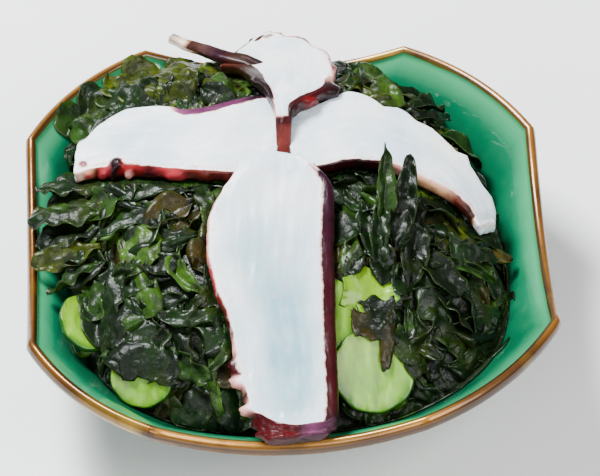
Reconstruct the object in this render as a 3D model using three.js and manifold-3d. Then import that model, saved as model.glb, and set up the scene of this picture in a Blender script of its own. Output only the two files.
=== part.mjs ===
// Sliced cooked octopus and cucumber on a heap of wakame, in the glazed dish that it is served in.
// Millimetres, +Z up. The origin is on the table, under the middle of the whole.

import * as THREE from 'three';
import { mergeVertices } from 'three/addons/utils/BufferGeometryUtils.js';
import Module from 'manifold-3d';

const wasm = await Module();
wasm.setup();

// ---- driving dimensions ------------------------------------------------------------------------

const ORIGIN_SHIFT = [0.7, -2, 0]; // brings the middle of the whole onto the Z axis
const GAP = 0.35; // clearance between neighbouring pieces
const BED_GAP = 0.6; // clearance round a slice where it beds into the wakame

// Dish: a square with long, sagging sides and cut corners that bow outwards.
const DISH_HALF = 75; // from the middle to the lip's centre line
const RIM_HEIGHT = 44; // the lip's centre line above the table, at the corners
const RIM_DIP = 8.6; // how far the lip sags at the middle of each side
const CORNER_BOW = 4.2; // how far each cut corner bows out of its chord
const LIP_CREST = 2.2; // how far the lip's crest stands above its centre line
const LIP_INSIDE = 1.6; // how far it reaches inside that line
const STEPS_PER_EDGE = 6;
const FOOT_RADIUS = 33;
const FOOT_RECESS = 2.2;
const FLOOR_HEIGHT = 7.8;
// Ends of the four sides, anticlockwise from the front left; hand formed, so not quite regular.
const RIM_CORNERS = [
  [-41, -75.5], [36, -74.5],
  [76, -38.5], [74, 39],
  [38, 74], [-41, 75.5],
  [-76, 40.5], [-76, -41.5],
];
// Rows from the foot up the outside, over the lip and down the inside:
// fraction of the way from the axis to the lip, millimetres outside that, height, roundness.
const FOOT_ROWS = [
  [0.32, 0, FOOT_RECESS, 1],
  [0.35, 0, 0, 1],
  [0.42, 0, 0, 1],
  [FOOT_RADIUS / DISH_HALF, 0, 1.4, 1],
];
const OUTSIDE_ROWS = [
  [0.45, 0, 4, 0.9],
  [0.56, 0, 6.8, 0.6],
  [0.69, 0, 12.5, 0.3],
  [0.80, 0, 20.5, 0.12],
  [0.89, 0, 29, 0.04],
  [0.96, 0, 36.5, 0],
];
const LIP_ROWS = [
  [1, 0.3, RIM_HEIGHT - 3.2, 0],
  [1, 1.6, RIM_HEIGHT - 2.1, 0],
  [1, 2.1, RIM_HEIGHT - 0.3, 0],
  [1, 1.6, RIM_HEIGHT + 1.4, 0],
  [1, 0.4, RIM_HEIGHT + LIP_CREST, 0],
  [1, -0.9, RIM_HEIGHT + 1.5, 0],
  [1, -LIP_INSIDE, RIM_HEIGHT - 0.4, 0],
];
const INSIDE_ROWS = [
  [0.917, 0, 38.9, 0],
  [0.847, 0, 31.4, 0.04],
  [0.758, 0, 23, 0.12],
  [0.653, 0, 15.4, 0.3],
  [0.533, 0, 10.2, 0.6],
  [0.3, 0, 8.2, 1],
];

// Heap of wakame: a dome whose foot lies higher on the left and at the back.
const HEAP_CENTRE = [0, 10];
const HEAP_REACH_X = 64;
const HEAP_REACH_FRONT = 71;
const HEAP_REACH_BACK = 60;
const HEAP_TOP = RIM_HEIGHT + 12.3;
const HEAP_FOOT = RIM_HEIGHT - 10;
const HEAP_FOOT_SLOPE_X = -3.5; // how much lower the foot lies towards +X
const HEAP_FOOT_SLOPE_Y = 7; // how much higher it lies towards +Y
const HEAP_HOLLOW = [22, -42, 15, 4.5]; // where the cucumber lies: x, y, radius, depth
const HEAP_DENT = [34, 0.12, 28]; // short of the back right wall: direction, share, width
const HEAP_SECTORS = 24;
const HEAP_RINGS = [0.2, 0.42, 0.62, 0.79, 0.92, 1, 1.05];
const LEAF_THICKNESS = 1;
const LEAF_PLACES = 62; // over the whole heap; those under a slice stay empty
const LEAF_SEED = 12;

// Octopus slices: rows of x, y, top height over the rim, width to the left and right of the
// spine, and sideways tilt in degrees. The spine starts at the middle of the heap.
const SLICE_THICKNESS = 5;
const FRONT_SLICE = [
  [-3, 12.5, 22.6, 2.6, 3, 0],
  [-3.6, 11.2, 22.6, 8.2, 7, 0],
  [-4, 8, 22.4, 12.4, 11.2, 0],
  [-4, 1, 20.5, 17.2, 15.6, 0],
  [-4.5, -9, 18, 17.4, 19.6, 0],
  [-5, -19, 15.2, 17.3, 20.2, 0],
  [-5.5, -30, 11.7, 17.8, 18.6, 0],
  [-5, -41, 8.1, 17, 16, 0],
  [-4, -51, 5, 15.9, 14, 0],
  [-3, -60, 2.4, 14.8, 12.6, 0],
  [-2, -68, 1.1, 13.6, 11.2, 0],
  [-1.5, -73.2, 0.2, 12, 10.2, 0],
  [-1.2, -75.8, -0.6, 9, 8.6, 0],
];
const LEFT_SLICE = [
  [-3, 26, 16.8, 8, 14, 0],
  [-7, 26, 16.8, 14.5, 16.5, 0],
  [-14, 26, 16.6, 15.5, 15.5, 0],
  [-22, 26.3, 15.9, 13.8, 13.6, 0],
  [-32, 28, 13.6, 12.4, 12.8, 0],
  [-42, 31, 10.6, 13.2, 14.6, 0],
  [-49, 32.6, 8.4, 12.6, 14.2, 0],
  [-55, 33, 6.6, 11.4, 11, 0],
  [-60.4, 32.4, 5, 9, 4.6, 0],
];
const RIGHT_SLICE = [
  [2.1, 22, 16.8, 6, 8.5, 0],
  [7, 23, 16.8, 9.5, 12, 0],
  [14, 25, 16.8, 13, 12, 0],
  [22, 26.5, 16.5, 15.2, 13, 0],
  [31, 25, 15.1, 13.2, 12.1, -3],
  [39, 21.5, 13.4, 11.6, 11.4, -8],
  [46, 17, 10.8, 10.8, 11.2, -16],
  [52.5, 11, 7, 9, 8.5, -26],
  [56.8, 5.6, 3.2, 6.6, 5.8, -34],
  [58.8, 1.6, 0.2, 4.2, 3.8, -38],
];
const BACK_SLICE = [
  [-0.8, 16.4, 15.2, 1.3, 1.3, 0],
  [-0.7, 21, 17.6, 1.9, 1.7, 0],
  [-0.6, 26.5, 21, 2.1, 2.1, 0],
  [-0.2, 31, 22.7, 3.2, 3, 0],
  [0.8, 36, 22.3, 6, 5.4, 0],
  [2.4, 43, 20, 10.6, 10.4, 0],
  [3.2, 52, 16, 13.4, 12.6, 0],
  [2.6, 61, 11.8, 15.6, 12.4, 0],
  [0.6, 70, 7.8, 20.2, 9.2, 0],
  [-2.4, 77, 4.8, 13, 5, 0],
  [-4, 80.4, 3.4, 6, 2.8, 0],
];
const BACK_SLICE_TONGUE = [
  [-6, 61.5, 9.6, 2.2, 2.2, 0],
  [-10.9, 62.8, 10.4, 1.9, 1.5, 0],
  [-16.9, 66, 9.8, 1.8, 1.6, 0],
  [-22.8, 71.7, 7.4, 1.8, 1.6, 0],
  [-28.3, 76.8, 5, 1.7, 1.5, 0],
  [-32.8, 81, 3.6, 1.3, 1.3, 0],
];
const TONGUE_THICKNESS = 3.6;
const TONGUE_STEPS = 8;
// Suckers stand on a slice's edge: slice rows, side (1 left, -1 right), first and last place
// along the spine as a fraction, count, radius.
const SUCKER_HEIGHT = 1.5;
const SUCKER_ROWS = {
  octopus_left: [LEFT_SLICE, 1, 0.3, 0.69, 5, 2.3],
  octopus_front: [FRONT_SLICE, -1, 0.62, 0.93, 4, 2.2],
  octopus_right: [RIGHT_SLICE, 1, 0.42, 0.78, 3, 2],
};

// Cucumber: thin round slices; centre x, y, height over the rim, radius, tilt towards the front,
// tilt towards the right, wave.
const CUCUMBER_THICKNESS = 1.8;
const CUCUMBERS = {
  cucumber_under_slice: [6.5, -36, 4.6, 12.3, 30, 8, 0.3],
  cucumber_front: [22.5, -50, -5.4, 12.5, 34, 10, 0.5],
  cucumber_curled: [22, -30.5, 5.6, 8.5, 26, 6, 1.6],
  cucumber_left: [-60, -27, -6.5, 9.5, 8, 24, 0.7],
  cucumber_front_left: [-44.5, -48.5, -6, 9.5, 38, -10, 0.6],
};

// ---- geometry helpers ----------------------------------------------------------------------------

const radians = THREE.MathUtils.degToRad;
const lerp = THREE.MathUtils.lerp;

/** Repeatable random numbers from 0 to 1. */
function randomStream(seed) {
  let state = seed;
  return () => {
    state = (state * 1664525 + 1013904223) % 4294967296;
    return state / 4294967296;
  };
}

/** Closed surface through rings of equally many points, each end closed by a fan. */
function loft(rings) {
  const count = rings[0].length;
  const positions = rings.flat().flatMap((point) => point.toArray());
  const triangles = [];
  for (let r = 0; r + 1 < rings.length; r += 1) {
    for (let k = 0; k < count; k += 1) {
      const next = (k + 1) % count;
      const [a, b] = [r * count + k, r * count + next];
      triangles.push(a, b, b + count, a, b + count, a + count);
    }
  }
  const close = (ring, first, flipped) => {
    const middle = new THREE.Vector3();
    ring.forEach((point) => middle.addScaledVector(point, 1 / count));
    const hub = positions.length / 3;
    positions.push(...middle.toArray());
    for (let k = 0; k < count; k += 1) {
      const [a, b] = [first + k, first + (k + 1) % count];
      triangles.push(hub, flipped ? b : a, flipped ? a : b);
    }
  };
  close(rings[0], 0, true);
  close(rings.at(-1), (rings.length - 1) * count, false);
  return facingOut(positions, triangles);
}

/** Indexed geometry with its faces turned outwards. */
function facingOut(positions, triangles) {
  const corner = (i) => new THREE.Vector3().fromArray(positions, 3 * i);
  let volume = 0;
  for (let t = 0; t < triangles.length; t += 3) {
    const [a, b, c] = triangles.slice(t, t + 3).map(corner);
    volume += a.dot(b.cross(c));
  }
  if (volume < 0) triangles.reverse();
  const geometry = new THREE.BufferGeometry();
  geometry.setAttribute('position', new THREE.Float32BufferAttribute(positions, 3));
  geometry.setIndex(triangles);
  return geometry;
}

/** The manifold-3d solid of a closed geometry. */
function toSolid(geometry) {
  const merged = mergeVertices(geometry, 1e-4);
  return new wasm.Manifold(new wasm.Mesh({
    numProp: 3,
    vertProperties: new Float32Array(merged.attributes.position.array),
    triVerts: new Uint32Array(merged.index.array),
  }));
}

/** The geometry of a manifold-3d solid. */
function toGeometry(solid) {
  const { vertProperties, triVerts } = solid.getMesh();
  const geometry = new THREE.BufferGeometry();
  geometry.setAttribute('position', new THREE.BufferAttribute(vertProperties, 3));
  geometry.setIndex(new THREE.BufferAttribute(triVerts, 1));
  return geometry;
}

/** The largest connected part of a solid: scraps that a cut leaves loose are dropped. */
function largestPart(solid) {
  return solid.decompose().sort((a, b) => b.volume() - a.volume())[0];
}

// ---- dish ------------------------------------------------------------------------------------------

/** Points of the lip's centre line with their outward direction and their share of the sag. */
function rimOutline(steps) {
  const points = RIM_CORNERS.flatMap(([x0, y0], edge) => {
    const [x1, y1] = RIM_CORNERS[(edge + 1) % RIM_CORNERS.length];
    const straight = edge % 2 === 0;
    const length = Math.hypot(x1 - x0, y1 - y0);
    return Array.from({ length: steps }, (_, k) => {
      const along = k / steps;
      const arch = 4 * along * (1 - along);
      const bow = straight ? 0 : CORNER_BOW * arch / length;
      return {
        x: lerp(x0, x1, along) + (y1 - y0) * bow,
        y: lerp(y0, y1, along) - (x1 - x0) * bow,
        sag: straight ? arch : 0,
      };
    });
  });
  points.forEach((point, i) => {
    const before = points.at(i - 1);
    const after = points[(i + 1) % points.length];
    const length = Math.hypot(after.x - before.x, after.y - before.y);
    point.outX = (after.y - before.y) / length;
    point.outY = (before.x - after.x) / length;
  });
  return points;
}

/** One ring of the dish: nearer the foot it is rounder and sags less. */
function dishRing([reach, out, height, roundness], outline) {
  const foot = FOOT_RADIUS / DISH_HALF;
  const sagShare = Math.max(0, (reach - foot) / (1 - foot)) ** 1.5;
  return outline.map(({ x, y, outX, outY, sag }) => {
    const circle = DISH_HALF / Math.hypot(x, y);
    const scale = reach * lerp(1, circle, roundness);
    return new THREE.Vector3(x * scale + outX * out, y * scale + outY * out,
      height - RIM_DIP * sag * sagShare);
  });
}

function dishGeometry() {
  const outline = rimOutline(STEPS_PER_EDGE);
  const rows = [...FOOT_ROWS, ...OUTSIDE_ROWS, ...LIP_ROWS, ...INSIDE_ROWS];
  return loft(rows.map((row) => dishRing(row, outline)));
}

/** The space in and above the dish that its contents may fill, clear of the dish all round. */
function roomInDish() {
  const outline = rimOutline(STEPS_PER_EDGE / 2);
  const lipTop = RIM_HEIGHT + LIP_CREST + GAP;
  const overhang = 3.4;
  const ceiling = RIM_HEIGHT + 60;
  const wall = INSIDE_ROWS.slice().reverse().filter((_, i) => i !== 2)
    .map(([reach, , height, roundness]) => [reach, -GAP, height + GAP, roundness]);
  const rows = [
    ...wall,
    [1, -LIP_INSIDE - GAP, RIM_HEIGHT - 0.4, 0],
    [1, -LIP_INSIDE, lipTop, 0],
    [1, overhang, lipTop, 0],
    [1, overhang, ceiling, 0],
  ];
  return toSolid(loft(rows.map((row) => dishRing(row, outline))));
}

// ---- octopus ---------------------------------------------------------------------------------------

/** A slice's place at a fraction of its length: spine point, direction to the left, widths. */
function slicePlace(rows, along) {
  const spine = new THREE.CatmullRomCurve3(rows.map(([x, y, top]) => new THREE.Vector3(x, y, top)));
  const widths = new THREE.CatmullRomCurve3(
    rows.map(([, , , left, right, tilt]) => new THREE.Vector3(left, right, tilt)),
  );
  const ahead = spine.getTangent(along);
  const flat = Math.hypot(ahead.x, ahead.y);
  const { x: left, y: right, z: tilt } = widths.getPoint(along);
  const slope = radians(tilt);
  return {
    centre: spine.getPoint(along).add(new THREE.Vector3(0, 0, RIM_HEIGHT)),
    ahead: new THREE.Vector3(ahead.x / flat, ahead.y / flat, 0),
    toLeft: new THREE.Vector3(
      -ahead.y / flat * Math.cos(slope), ahead.x / flat * Math.cos(slope), Math.sin(slope),
    ),
    left,
    right,
  };
}

/** A limp slab along a spine, with softened edges; it can be grown all round by a margin. */
function sliceGeometry(rows, { steps, thickness = SLICE_THICKNESS, margin = 0 }) {
  const soften = Math.min(1.6, thickness / 3);
  const rings = [];
  for (let i = 0; i <= steps; i += 1) {
    const place = slicePlace(rows, i / steps);
    const overrun = i === 0 ? -margin : margin * (i === steps);
    place.centre.addScaledVector(place.ahead, overrun);
    const left = place.left + margin;
    const right = place.right + margin;
    const inset = Math.min(soften, left / 2, right / 2);
    const sides = [-right, -right + inset, -right / 2.2, left / 2.2, left - inset, left];
    const at = (side, depth) => place.centre.clone()
      .addScaledVector(place.toLeft, side)
      .add(new THREE.Vector3(0, 0, margin - depth));
    const full = thickness + 2 * margin;
    const edgeDrop = inset * 0.7;
    const isEdge = (k) => k === 0 || k === sides.length - 1;
    const upper = sides.map((side, k) => at(side, isEdge(k) ? edgeDrop : 0));
    const lower = sides.map((side, k) => at(side, full - (isEdge(k) ? edgeDrop * 0.5 : 0)));
    rings.push([...upper, ...lower.reverse()]);
  }
  return loft(rings);
}

/** One sucker: a short blunt cone, longer along the edge, standing out of the slice's edge. */
function suckerGeometry(rows, along, side, radius, margin) {
  const place = slicePlace(rows, along);
  const edge = side > 0 ? place.left : place.right;
  const outwards = place.toLeft.clone().multiplyScalar(side);
  const sunk = 2;
  const stretch = 1.45;
  const cone = new THREE.CylinderGeometry(
    radius * 0.6 + margin, radius + margin, SUCKER_HEIGHT + sunk + margin, 8,
  );
  cone.deleteAttribute('normal');
  cone.deleteAttribute('uv');
  const upwards = new THREE.Vector3().crossVectors(place.ahead, outwards);
  const centre = place.centre.clone()
    .addScaledVector(outwards, edge + (SUCKER_HEIGHT - sunk + margin) / 2)
    .add(new THREE.Vector3(0, 0, -SLICE_THICKNESS * 0.52));
  const basis = new THREE.Matrix4()
    .makeBasis(place.ahead.clone().multiplyScalar(stretch), outwards, upwards)
    .setPosition(centre);
  const geometry = cone.applyMatrix4(basis);
  return facingOut([...geometry.attributes.position.array], [...geometry.index.array]);
}

/** A whole octopus slice as a solid: the slab, its tongue if it has one, and its suckers. */
function sliceSolid(name, rows, steps, margin = 0, tongue = null) {
  let solid = toSolid(sliceGeometry(rows, { steps, margin }));
  if (tongue) {
    const strip = sliceGeometry(tongue, {
      steps: TONGUE_STEPS, thickness: TONGUE_THICKNESS, margin,
    });
    solid = solid.add(toSolid(strip));
  }
  if (name in SUCKER_ROWS) {
    const [edgeRows, side, first, last, count, radius] = SUCKER_ROWS[name];
    for (let i = 0; i < count; i += 1) {
      const along = lerp(first, last, i / (count - 1));
      solid = solid.add(toSolid(suckerGeometry(edgeRows, along, side, radius, margin)));
    }
  }
  return solid;
}

/** The plainer, roomier shape that a slice presses into the wakame. */
function sliceBed(name, rows, steps) {
  const [, side] = SUCKER_ROWS[name] ?? [null, 0];
  const widened = rows.map(([x, y, top, left, right, tilt]) => [
    x, y, top, left + SUCKER_HEIGHT * (side > 0), right + SUCKER_HEIGHT * (side < 0), tilt,
  ]);
  return toSolid(sliceGeometry(widened, { steps, margin: BED_GAP }));
}

// ---- cucumber --------------------------------------------------------------------------------------

/** A thin round slice, bent by a gentle wave. */
function cucumberGeometry(radius, wave, margin = 0) {
  const sectors = 18;
  const half = CUCUMBER_THICKNESS / 2 + margin;
  const ring = (reach, height) => Array.from({ length: sectors }, (_, k) => {
    const angle = 2 * Math.PI * k / sectors;
    const lift = wave * reach ** 2 * Math.cos(2 * angle + 0.6);
    const r = reach * radius + (reach > 0.9 ? margin : 0);
    return new THREE.Vector3(r * Math.cos(angle), r * Math.sin(angle), height + lift);
  });
  return loft([ring(0.55, -half), ring(1, -half * 0.7), ring(1, half * 0.7), ring(0.55, half)]);
}

/** Where a cucumber slice lies. */
function placeCucumber(object, [x, y, height, , forward, sideways]) {
  object.position.set(x, y, RIM_HEIGHT + height);
  object.rotation.set(radians(forward), radians(sideways), 0);
  object.updateMatrix();
  return object;
}

// ---- wakame ----------------------------------------------------------------------------------------

/** How much of its full reach the heap has in a direction. */
function heapShare(angle) {
  const [direction, depth, width] = HEAP_DENT;
  return 1 - depth * Math.exp(-(((angle - radians(direction)) / radians(width)) ** 2));
}

/** Plan position on the heap, by distance from its middle (1 at the foot) and direction. */
function heapPlace(distance, angle) {
  const [c, s] = [Math.cos(angle), Math.sin(angle)];
  const turned = Math.atan2(s, c);
  const scale = distance * heapShare(turned) / (Math.abs(c) ** 3 + Math.abs(s) ** 3) ** (1 / 3);
  const reachY = s < 0 ? HEAP_REACH_FRONT : HEAP_REACH_BACK;
  return [HEAP_CENTRE[0] + HEAP_REACH_X * c * scale, HEAP_CENTRE[1] + reachY * s * scale];
}

/** Height of the heap's bare surface. */
function heapHeight(x, y) {
  const dy = y - HEAP_CENTRE[1];
  const across = (x - HEAP_CENTRE[0]) / HEAP_REACH_X;
  const deep = dy / (dy < 0 ? HEAP_REACH_FRONT : HEAP_REACH_BACK);
  const distance = (Math.abs(across) ** 3 + Math.abs(deep) ** 3) ** (1 / 3)
    / heapShare(Math.atan2(deep, across));
  const length = Math.hypot(x, y) + 1;
  const foot = HEAP_FOOT + (HEAP_FOOT_SLOPE_X * x + HEAP_FOOT_SLOPE_Y * y) / length;
  const fullness = 4 + 0.8 * Math.tanh(dy / 25);
  const [hollowX, hollowY, radius, depth] = HEAP_HOLLOW;
  const hollow = depth * Math.exp(-(((x - hollowX) ** 2 + (y - hollowY) ** 2) / radius ** 2));
  return foot + (HEAP_TOP - foot) * (1 - distance ** fullness) - hollow;
}

function heapCore() {
  const ring = (distance, height) => Array.from({ length: HEAP_SECTORS }, (_, k) => {
    const [x, y] = heapPlace(distance, 2 * Math.PI * k / HEAP_SECTORS);
    return new THREE.Vector3(x, y, height ?? heapHeight(x, y));
  });
  const rim = HEAP_RINGS.at(-1);
  const rings = [
    ring(0.3, FLOOR_HEIGHT), ring(rim, FLOOR_HEIGHT), ...HEAP_RINGS.slice().reverse().map((d) => ring(d)),
  ];
  return toSolid(loft(rings));
}

/** The turn that lays a flat thing on the heap's slope. */
function slopeTurn(x, y) {
  const step = 2;
  const fallX = (heapHeight(x - step, y) - heapHeight(x + step, y)) / (2 * step);
  const fallY = (heapHeight(x, y - step) - heapHeight(x, y + step)) / (2 * step);
  const normal = new THREE.Vector3(fallX, fallY, 1).normalize();
  const turn = new THREE.Quaternion().setFromUnitVectors(new THREE.Vector3(0, 0, 1), normal);
  return new THREE.Matrix4().makeRotationFromQuaternion(turn);
}

/** A thin wavy leaf from its base: heading and rise aim it, roll turns it on its midrib. */
function leafGeometry({ x, y, over, length, width, heading, rise, roll, curl, phase }) {
  const [cellsLong, cellsWide] = [4, 2];
  const turn = slopeTurn(x, y)
    .multiply(new THREE.Matrix4().makeRotationZ(radians(heading)))
    .multiply(new THREE.Matrix4().makeRotationY(-radians(rise)))
    .multiply(new THREE.Matrix4().makeRotationX(radians(roll)));
  const base = new THREE.Vector3(x, y, heapHeight(x, y) + over);
  const point = (i, j, side) => {
    const along = i / cellsLong;
    const across = 2 * j / cellsWide - 1;
    const half = width / 2 * (0.25 + 0.75 * Math.sin(Math.PI * (0.12 + 0.8 * along)) ** 0.8);
    const lobe = 1 + 0.22 * Math.sin(9 * along + phase + across);
    const wave = 0.09 * width * Math.sin(7 * along + phase) * Math.abs(across)
      + 0.06 * width * across * Math.cos(5 * along + 2 * phase);
    const droop = -curl * length * along ** 2;
    return new THREE.Vector3(
      length * along, half * lobe * across, wave + droop + side * LEAF_THICKNESS / 2,
    ).applyMatrix4(turn).add(base);
  };
  const rings = [];
  for (let i = 0; i <= cellsLong; i += 1) {
    const upper = Array.from({ length: cellsWide + 1 }, (_, j) => point(i, j, 1));
    const lower = Array.from({ length: cellsWide + 1 }, (_, j) => point(i, j, -1));
    rings.push([...upper, ...lower.reverse()]);
  }
  return loft(rings);
}

/** Leaves that stand out of the heap: base x, y, height over the surface, length, width,
 * heading, rise, roll, curl. */
const NAMED_LEAVES = [
  [27, -13, 0.5, 29, 9, 94, 17, 20, -0.05], // two upright points before the right slice
  [33, -12, 0, 26, 9, 92, 20, -25, -0.04],
  [44, -6, 1, 26, 14, -60, -6, 15, 0.15], // broad leaves on the right
  [40, -22, 2, 28, 15, -35, -14, -20, 0.2],
  [52, -8, 1, 22, 12, -85, -10, 25, 0.2],
  [56, 20, 0, 16, 8, -75, -6, 10, 0.25],
  [-55, 10, 1, 25, 15, 178, 28, 12, 0.1], // leaves that hang over the rim on the left
  [-56, -4, 1.5, 24, 12, 184, 30, -14, 0.1],
  [-56, 18, 0.5, 22, 10, 172, 26, 22, 0.08],
  [36, 44, 1, 17, 10, 55, 8, 10, 0.2], // long leaves behind the right slice
  [30, 50, 1, 20, 9, 60, 12, -15, 0.15],
  [20, 54, 0, 18, 11, 80, 14, 18, 0.1],
  [-28, 52, 1, 20, 11, 120, 10, 14, 0.12], // and behind the left one
  [-42, 48, 1, 20, 12, 130, 14, -12, 0.1],
  [-28, -50, 0.3, 18, 13, -110, 7, 10, 0.1], // and at the front
  [-20, -50, 0.3, 18, 12, -80, 8, -10, 0.1],
];

/** Whether an octopus slice lies over a plan position. */
function isUnderSlice(x, y) {
  const inwards = 1;
  return [FRONT_SLICE, LEFT_SLICE, RIGHT_SLICE, BACK_SLICE].some((rows) => (
    Array.from({ length: 25 }, (_, i) => slicePlace(rows, i / 24)).some((place) => {
      const offset = new THREE.Vector3(x - place.centre.x, y - place.centre.y, 0);
      const side = offset.dot(place.toLeft);
      return Math.abs(offset.dot(place.ahead)) < 3
        && side < place.left - inwards && side > inwards - place.right;
    })
  ));
}

/** Leaves scattered evenly over the heap, in a spiral with every size and turn varied. */
function scatteredLeaves() {
  const random = randomStream(LEAF_SEED);
  const between = (low, high) => lerp(low, high, random());
  const goldenAngle = Math.PI * (3 - Math.sqrt(5));
  return Array.from({ length: LEAF_PLACES }, (_, i) => {
    const [x, y] = heapPlace(0.1 + 0.84 * Math.sqrt((i + 0.5) / LEAF_PLACES), i * goldenAngle);
    const downhill = Math.atan2(y - HEAP_CENTRE[1], x - HEAP_CENTRE[0]) * 180 / Math.PI;
    return {
      x,
      y,
      over: between(-0.3, 0.4),
      length: between(14, 21),
      width: between(9, 14),
      heading: downhill + between(-55, 55),
      rise: between(6, 15),
      roll: between(-12, 12),
      curl: between(0.05, 0.22),
      phase: between(0, 6.28),
    };
  }).filter(({ x, y, heading, length }) => [0, 0.5, 0.9].every((along) => !isUnderSlice(
    x + along * length * Math.cos(radians(heading)),
    y + along * length * Math.sin(radians(heading)),
  )));
}

function wakameSolid(toppings) {
  const named = NAMED_LEAVES.map(([x, y, over, length, width, heading, rise, roll, curl], i) => (
    { x, y, over, length, width, heading, rise, roll, curl, phase: 1.3 * i }
  ));
  const leaves = [...named, ...scatteredLeaves()].map((leaf) => toSolid(leafGeometry(leaf)));
  const heap = wasm.Manifold.union([heapCore(), ...leaves]);
  const clear = heap.intersect(roomInDish()).subtract(wasm.Manifold.union(toppings));
  return largestPart(clear);
}

// ---- assembly --------------------------------------------------------------------------------------

const materials = {
  glaze: new THREE.MeshStandardMaterial({ color: 0x23916a, roughness: 0.12 }),
  flesh: new THREE.MeshStandardMaterial({ color: 0xe6ebee, roughness: 0.32 }),
  wakame: new THREE.MeshStandardMaterial({ color: 0x223a1b, roughness: 0.28 }),
  cucumber: new THREE.MeshStandardMaterial({ color: 0xb7d68a, roughness: 0.35 }),
};

const group = new THREE.Group();
group.position.set(...ORIGIN_SHIFT);

function addPiece(name, geometry, material) {
  const mesh = new THREE.Mesh(geometry, material);
  mesh.name = name;
  group.add(mesh);
  return mesh;
}

addPiece('dish', dishGeometry(), materials.glaze);

const slices = {
  octopus_left: [LEFT_SLICE, 16],
  octopus_right: [RIGHT_SLICE, 18],
  octopus_front: [FRONT_SLICE, 20],
  octopus_back: [BACK_SLICE, 18, BACK_SLICE_TONGUE],
};
const grownSlices = [];
const beds = [];
Object.entries(slices).forEach(([name, [rows, steps, tongue]]) => {
  let solid = sliceSolid(name, rows, steps, 0, tongue);
  grownSlices.forEach((neighbour) => {
    solid = solid.subtract(neighbour);
  });
  grownSlices.push(sliceSolid(name, rows, steps, GAP, tongue));
  beds.push(sliceBed(name, rows, steps));
  if (tongue) beds.push(sliceBed(name, tongue, TONGUE_STEPS));
  addPiece(name, toGeometry(largestPart(solid)), materials.flesh);
});

const grownCucumbers = [];
Object.entries(CUCUMBERS).forEach(([name, row]) => {
  const [, , , radius, , , wave] = row;
  const place = placeCucumber(new THREE.Object3D(), row);
  const inPlace = (margin) => toSolid(cucumberGeometry(radius, wave, margin).applyMatrix4(place.matrix));
  let solid = inPlace(0);
  [...grownSlices, ...grownCucumbers].forEach((neighbour) => {
    solid = solid.subtract(neighbour);
  });
  grownCucumbers.push(inPlace(GAP));
  const own = toGeometry(largestPart(solid)).applyMatrix4(place.matrix.clone().invert());
  placeCucumber(addPiece(name, own, materials.cucumber), row);
});

const heap = wakameSolid([...beds, ...grownCucumbers]);
addPiece('wakame', toGeometry(heap), materials.wakame);

export default group;
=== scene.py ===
"""Cooked octopus and cucumber on wakame in a glazed dish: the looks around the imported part.

Shapes are worked out in millimetres from the middle of the dish, as the part is, and are
written to Blender in metres in the part's own frame.
"""

import math
import random

import bpy
import numpy as np
from mathutils import Matrix, Vector, noise
from mathutils.bvhtree import BVHTree


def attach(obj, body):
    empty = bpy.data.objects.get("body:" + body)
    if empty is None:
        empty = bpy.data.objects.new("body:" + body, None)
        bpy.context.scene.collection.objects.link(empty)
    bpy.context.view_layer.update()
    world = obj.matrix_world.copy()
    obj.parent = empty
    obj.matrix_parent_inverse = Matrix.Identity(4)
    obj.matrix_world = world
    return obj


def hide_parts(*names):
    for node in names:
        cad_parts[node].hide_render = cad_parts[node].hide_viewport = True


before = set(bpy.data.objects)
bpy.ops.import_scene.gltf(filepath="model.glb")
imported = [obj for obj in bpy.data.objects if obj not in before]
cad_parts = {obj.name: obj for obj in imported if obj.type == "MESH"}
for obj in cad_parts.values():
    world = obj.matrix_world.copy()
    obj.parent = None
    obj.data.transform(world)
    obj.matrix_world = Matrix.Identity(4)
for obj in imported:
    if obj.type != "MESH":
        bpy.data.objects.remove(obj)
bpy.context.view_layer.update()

# ---- tables ----

# linear colours of the octopus's skin and of flesh near it, then of the leaves
COLOURS = {name: tuple(map(float, numbers)) for name, *numbers in map(str.split, """
RED .2 .007 .008; ROSE .4 .03 .04; WINE .028 .0007 .002; PLUM .017 .0014 .008;
MAUVE .16 .04 .105; PURPLE .085 .014 .055; BLACK .008 .001 .002; BROWN .028 .007 .003;
RUST .085 .01 .005; PINK .68 .3 .26; PEACH .62 .33 .18; CREAM .72 .62 .44;
CRIMSON .048 .0008 .003; BRICK .11 .015 .012; UMBER .05 .02 .016; GREY .26 .22 .19;
DARK .0046 .015 .0022; DEEP .002 .006 .001; MID .015 .04 .0035; BRIGHT .034 .075 .006;
MOSS .07 .08 .0035; SPRING .045 .09 .009; OLIVE .044 .05 .002; TAN .062 .04 .006;
AMBER .024 .015 .0012
""".strip().split(";"))}


def rows_of(text):
    """Rows of numbers from text, parted by semicolons. A colour's name stands for its three."""
    return [[value for word in row.split() for value in COLOURS.get(word) or [float(word)]]
            for row in text.split(";")]


# ---- dimensions shared with the part ----

ORIGIN_SHIFT = np.array([0.7, -2.0, 0.0])
DISH_HALF = 75.0
RIM_HEIGHT = 44.0
RIM_DIP = 8.6
CORNER_BOW = 4.2
FOOT_RADIUS = 33.0
FLOOR_HEIGHT = 7.8
RIM_CORNERS = [
    (-41, -75.5), (36, -74.5), (76, -38.5), (74, 39),
    (38, 74), (-41, 75.5), (-76, 40.5), (-76, -41.5),
]
# reach from the axis to the lip, millimetres outside that, height, roundness
DISH_ROWS = rows_of(""".32 0 2.2 1; .35 0 0 1; .42 0 0 1; .44 0 1.4 1; .45 0 4 .9; .56 0 6.8 .6;
    .69 0 12.5 .3; .8 0 20.5 .12; .89 0 29 .04; .96 0 36.5 0; 1 .3 40.8 0; 1 1.6 41.9 0;
    1 2.1 43.7 0; 1 1.6 45.4 0; 1 .4 46.2 0; 1 -.9 45.5 0; 1 -1.6 43.6 0; .917 0 38.9 0;
    .847 0 31.4 .04; .758 0 23 .12; .653 0 15.4 .3; .533 0 10.2 .6; .3 0 8.2 1""")
# the rows of the lip
LIP_START, LIP_END = 10, 16

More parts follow.
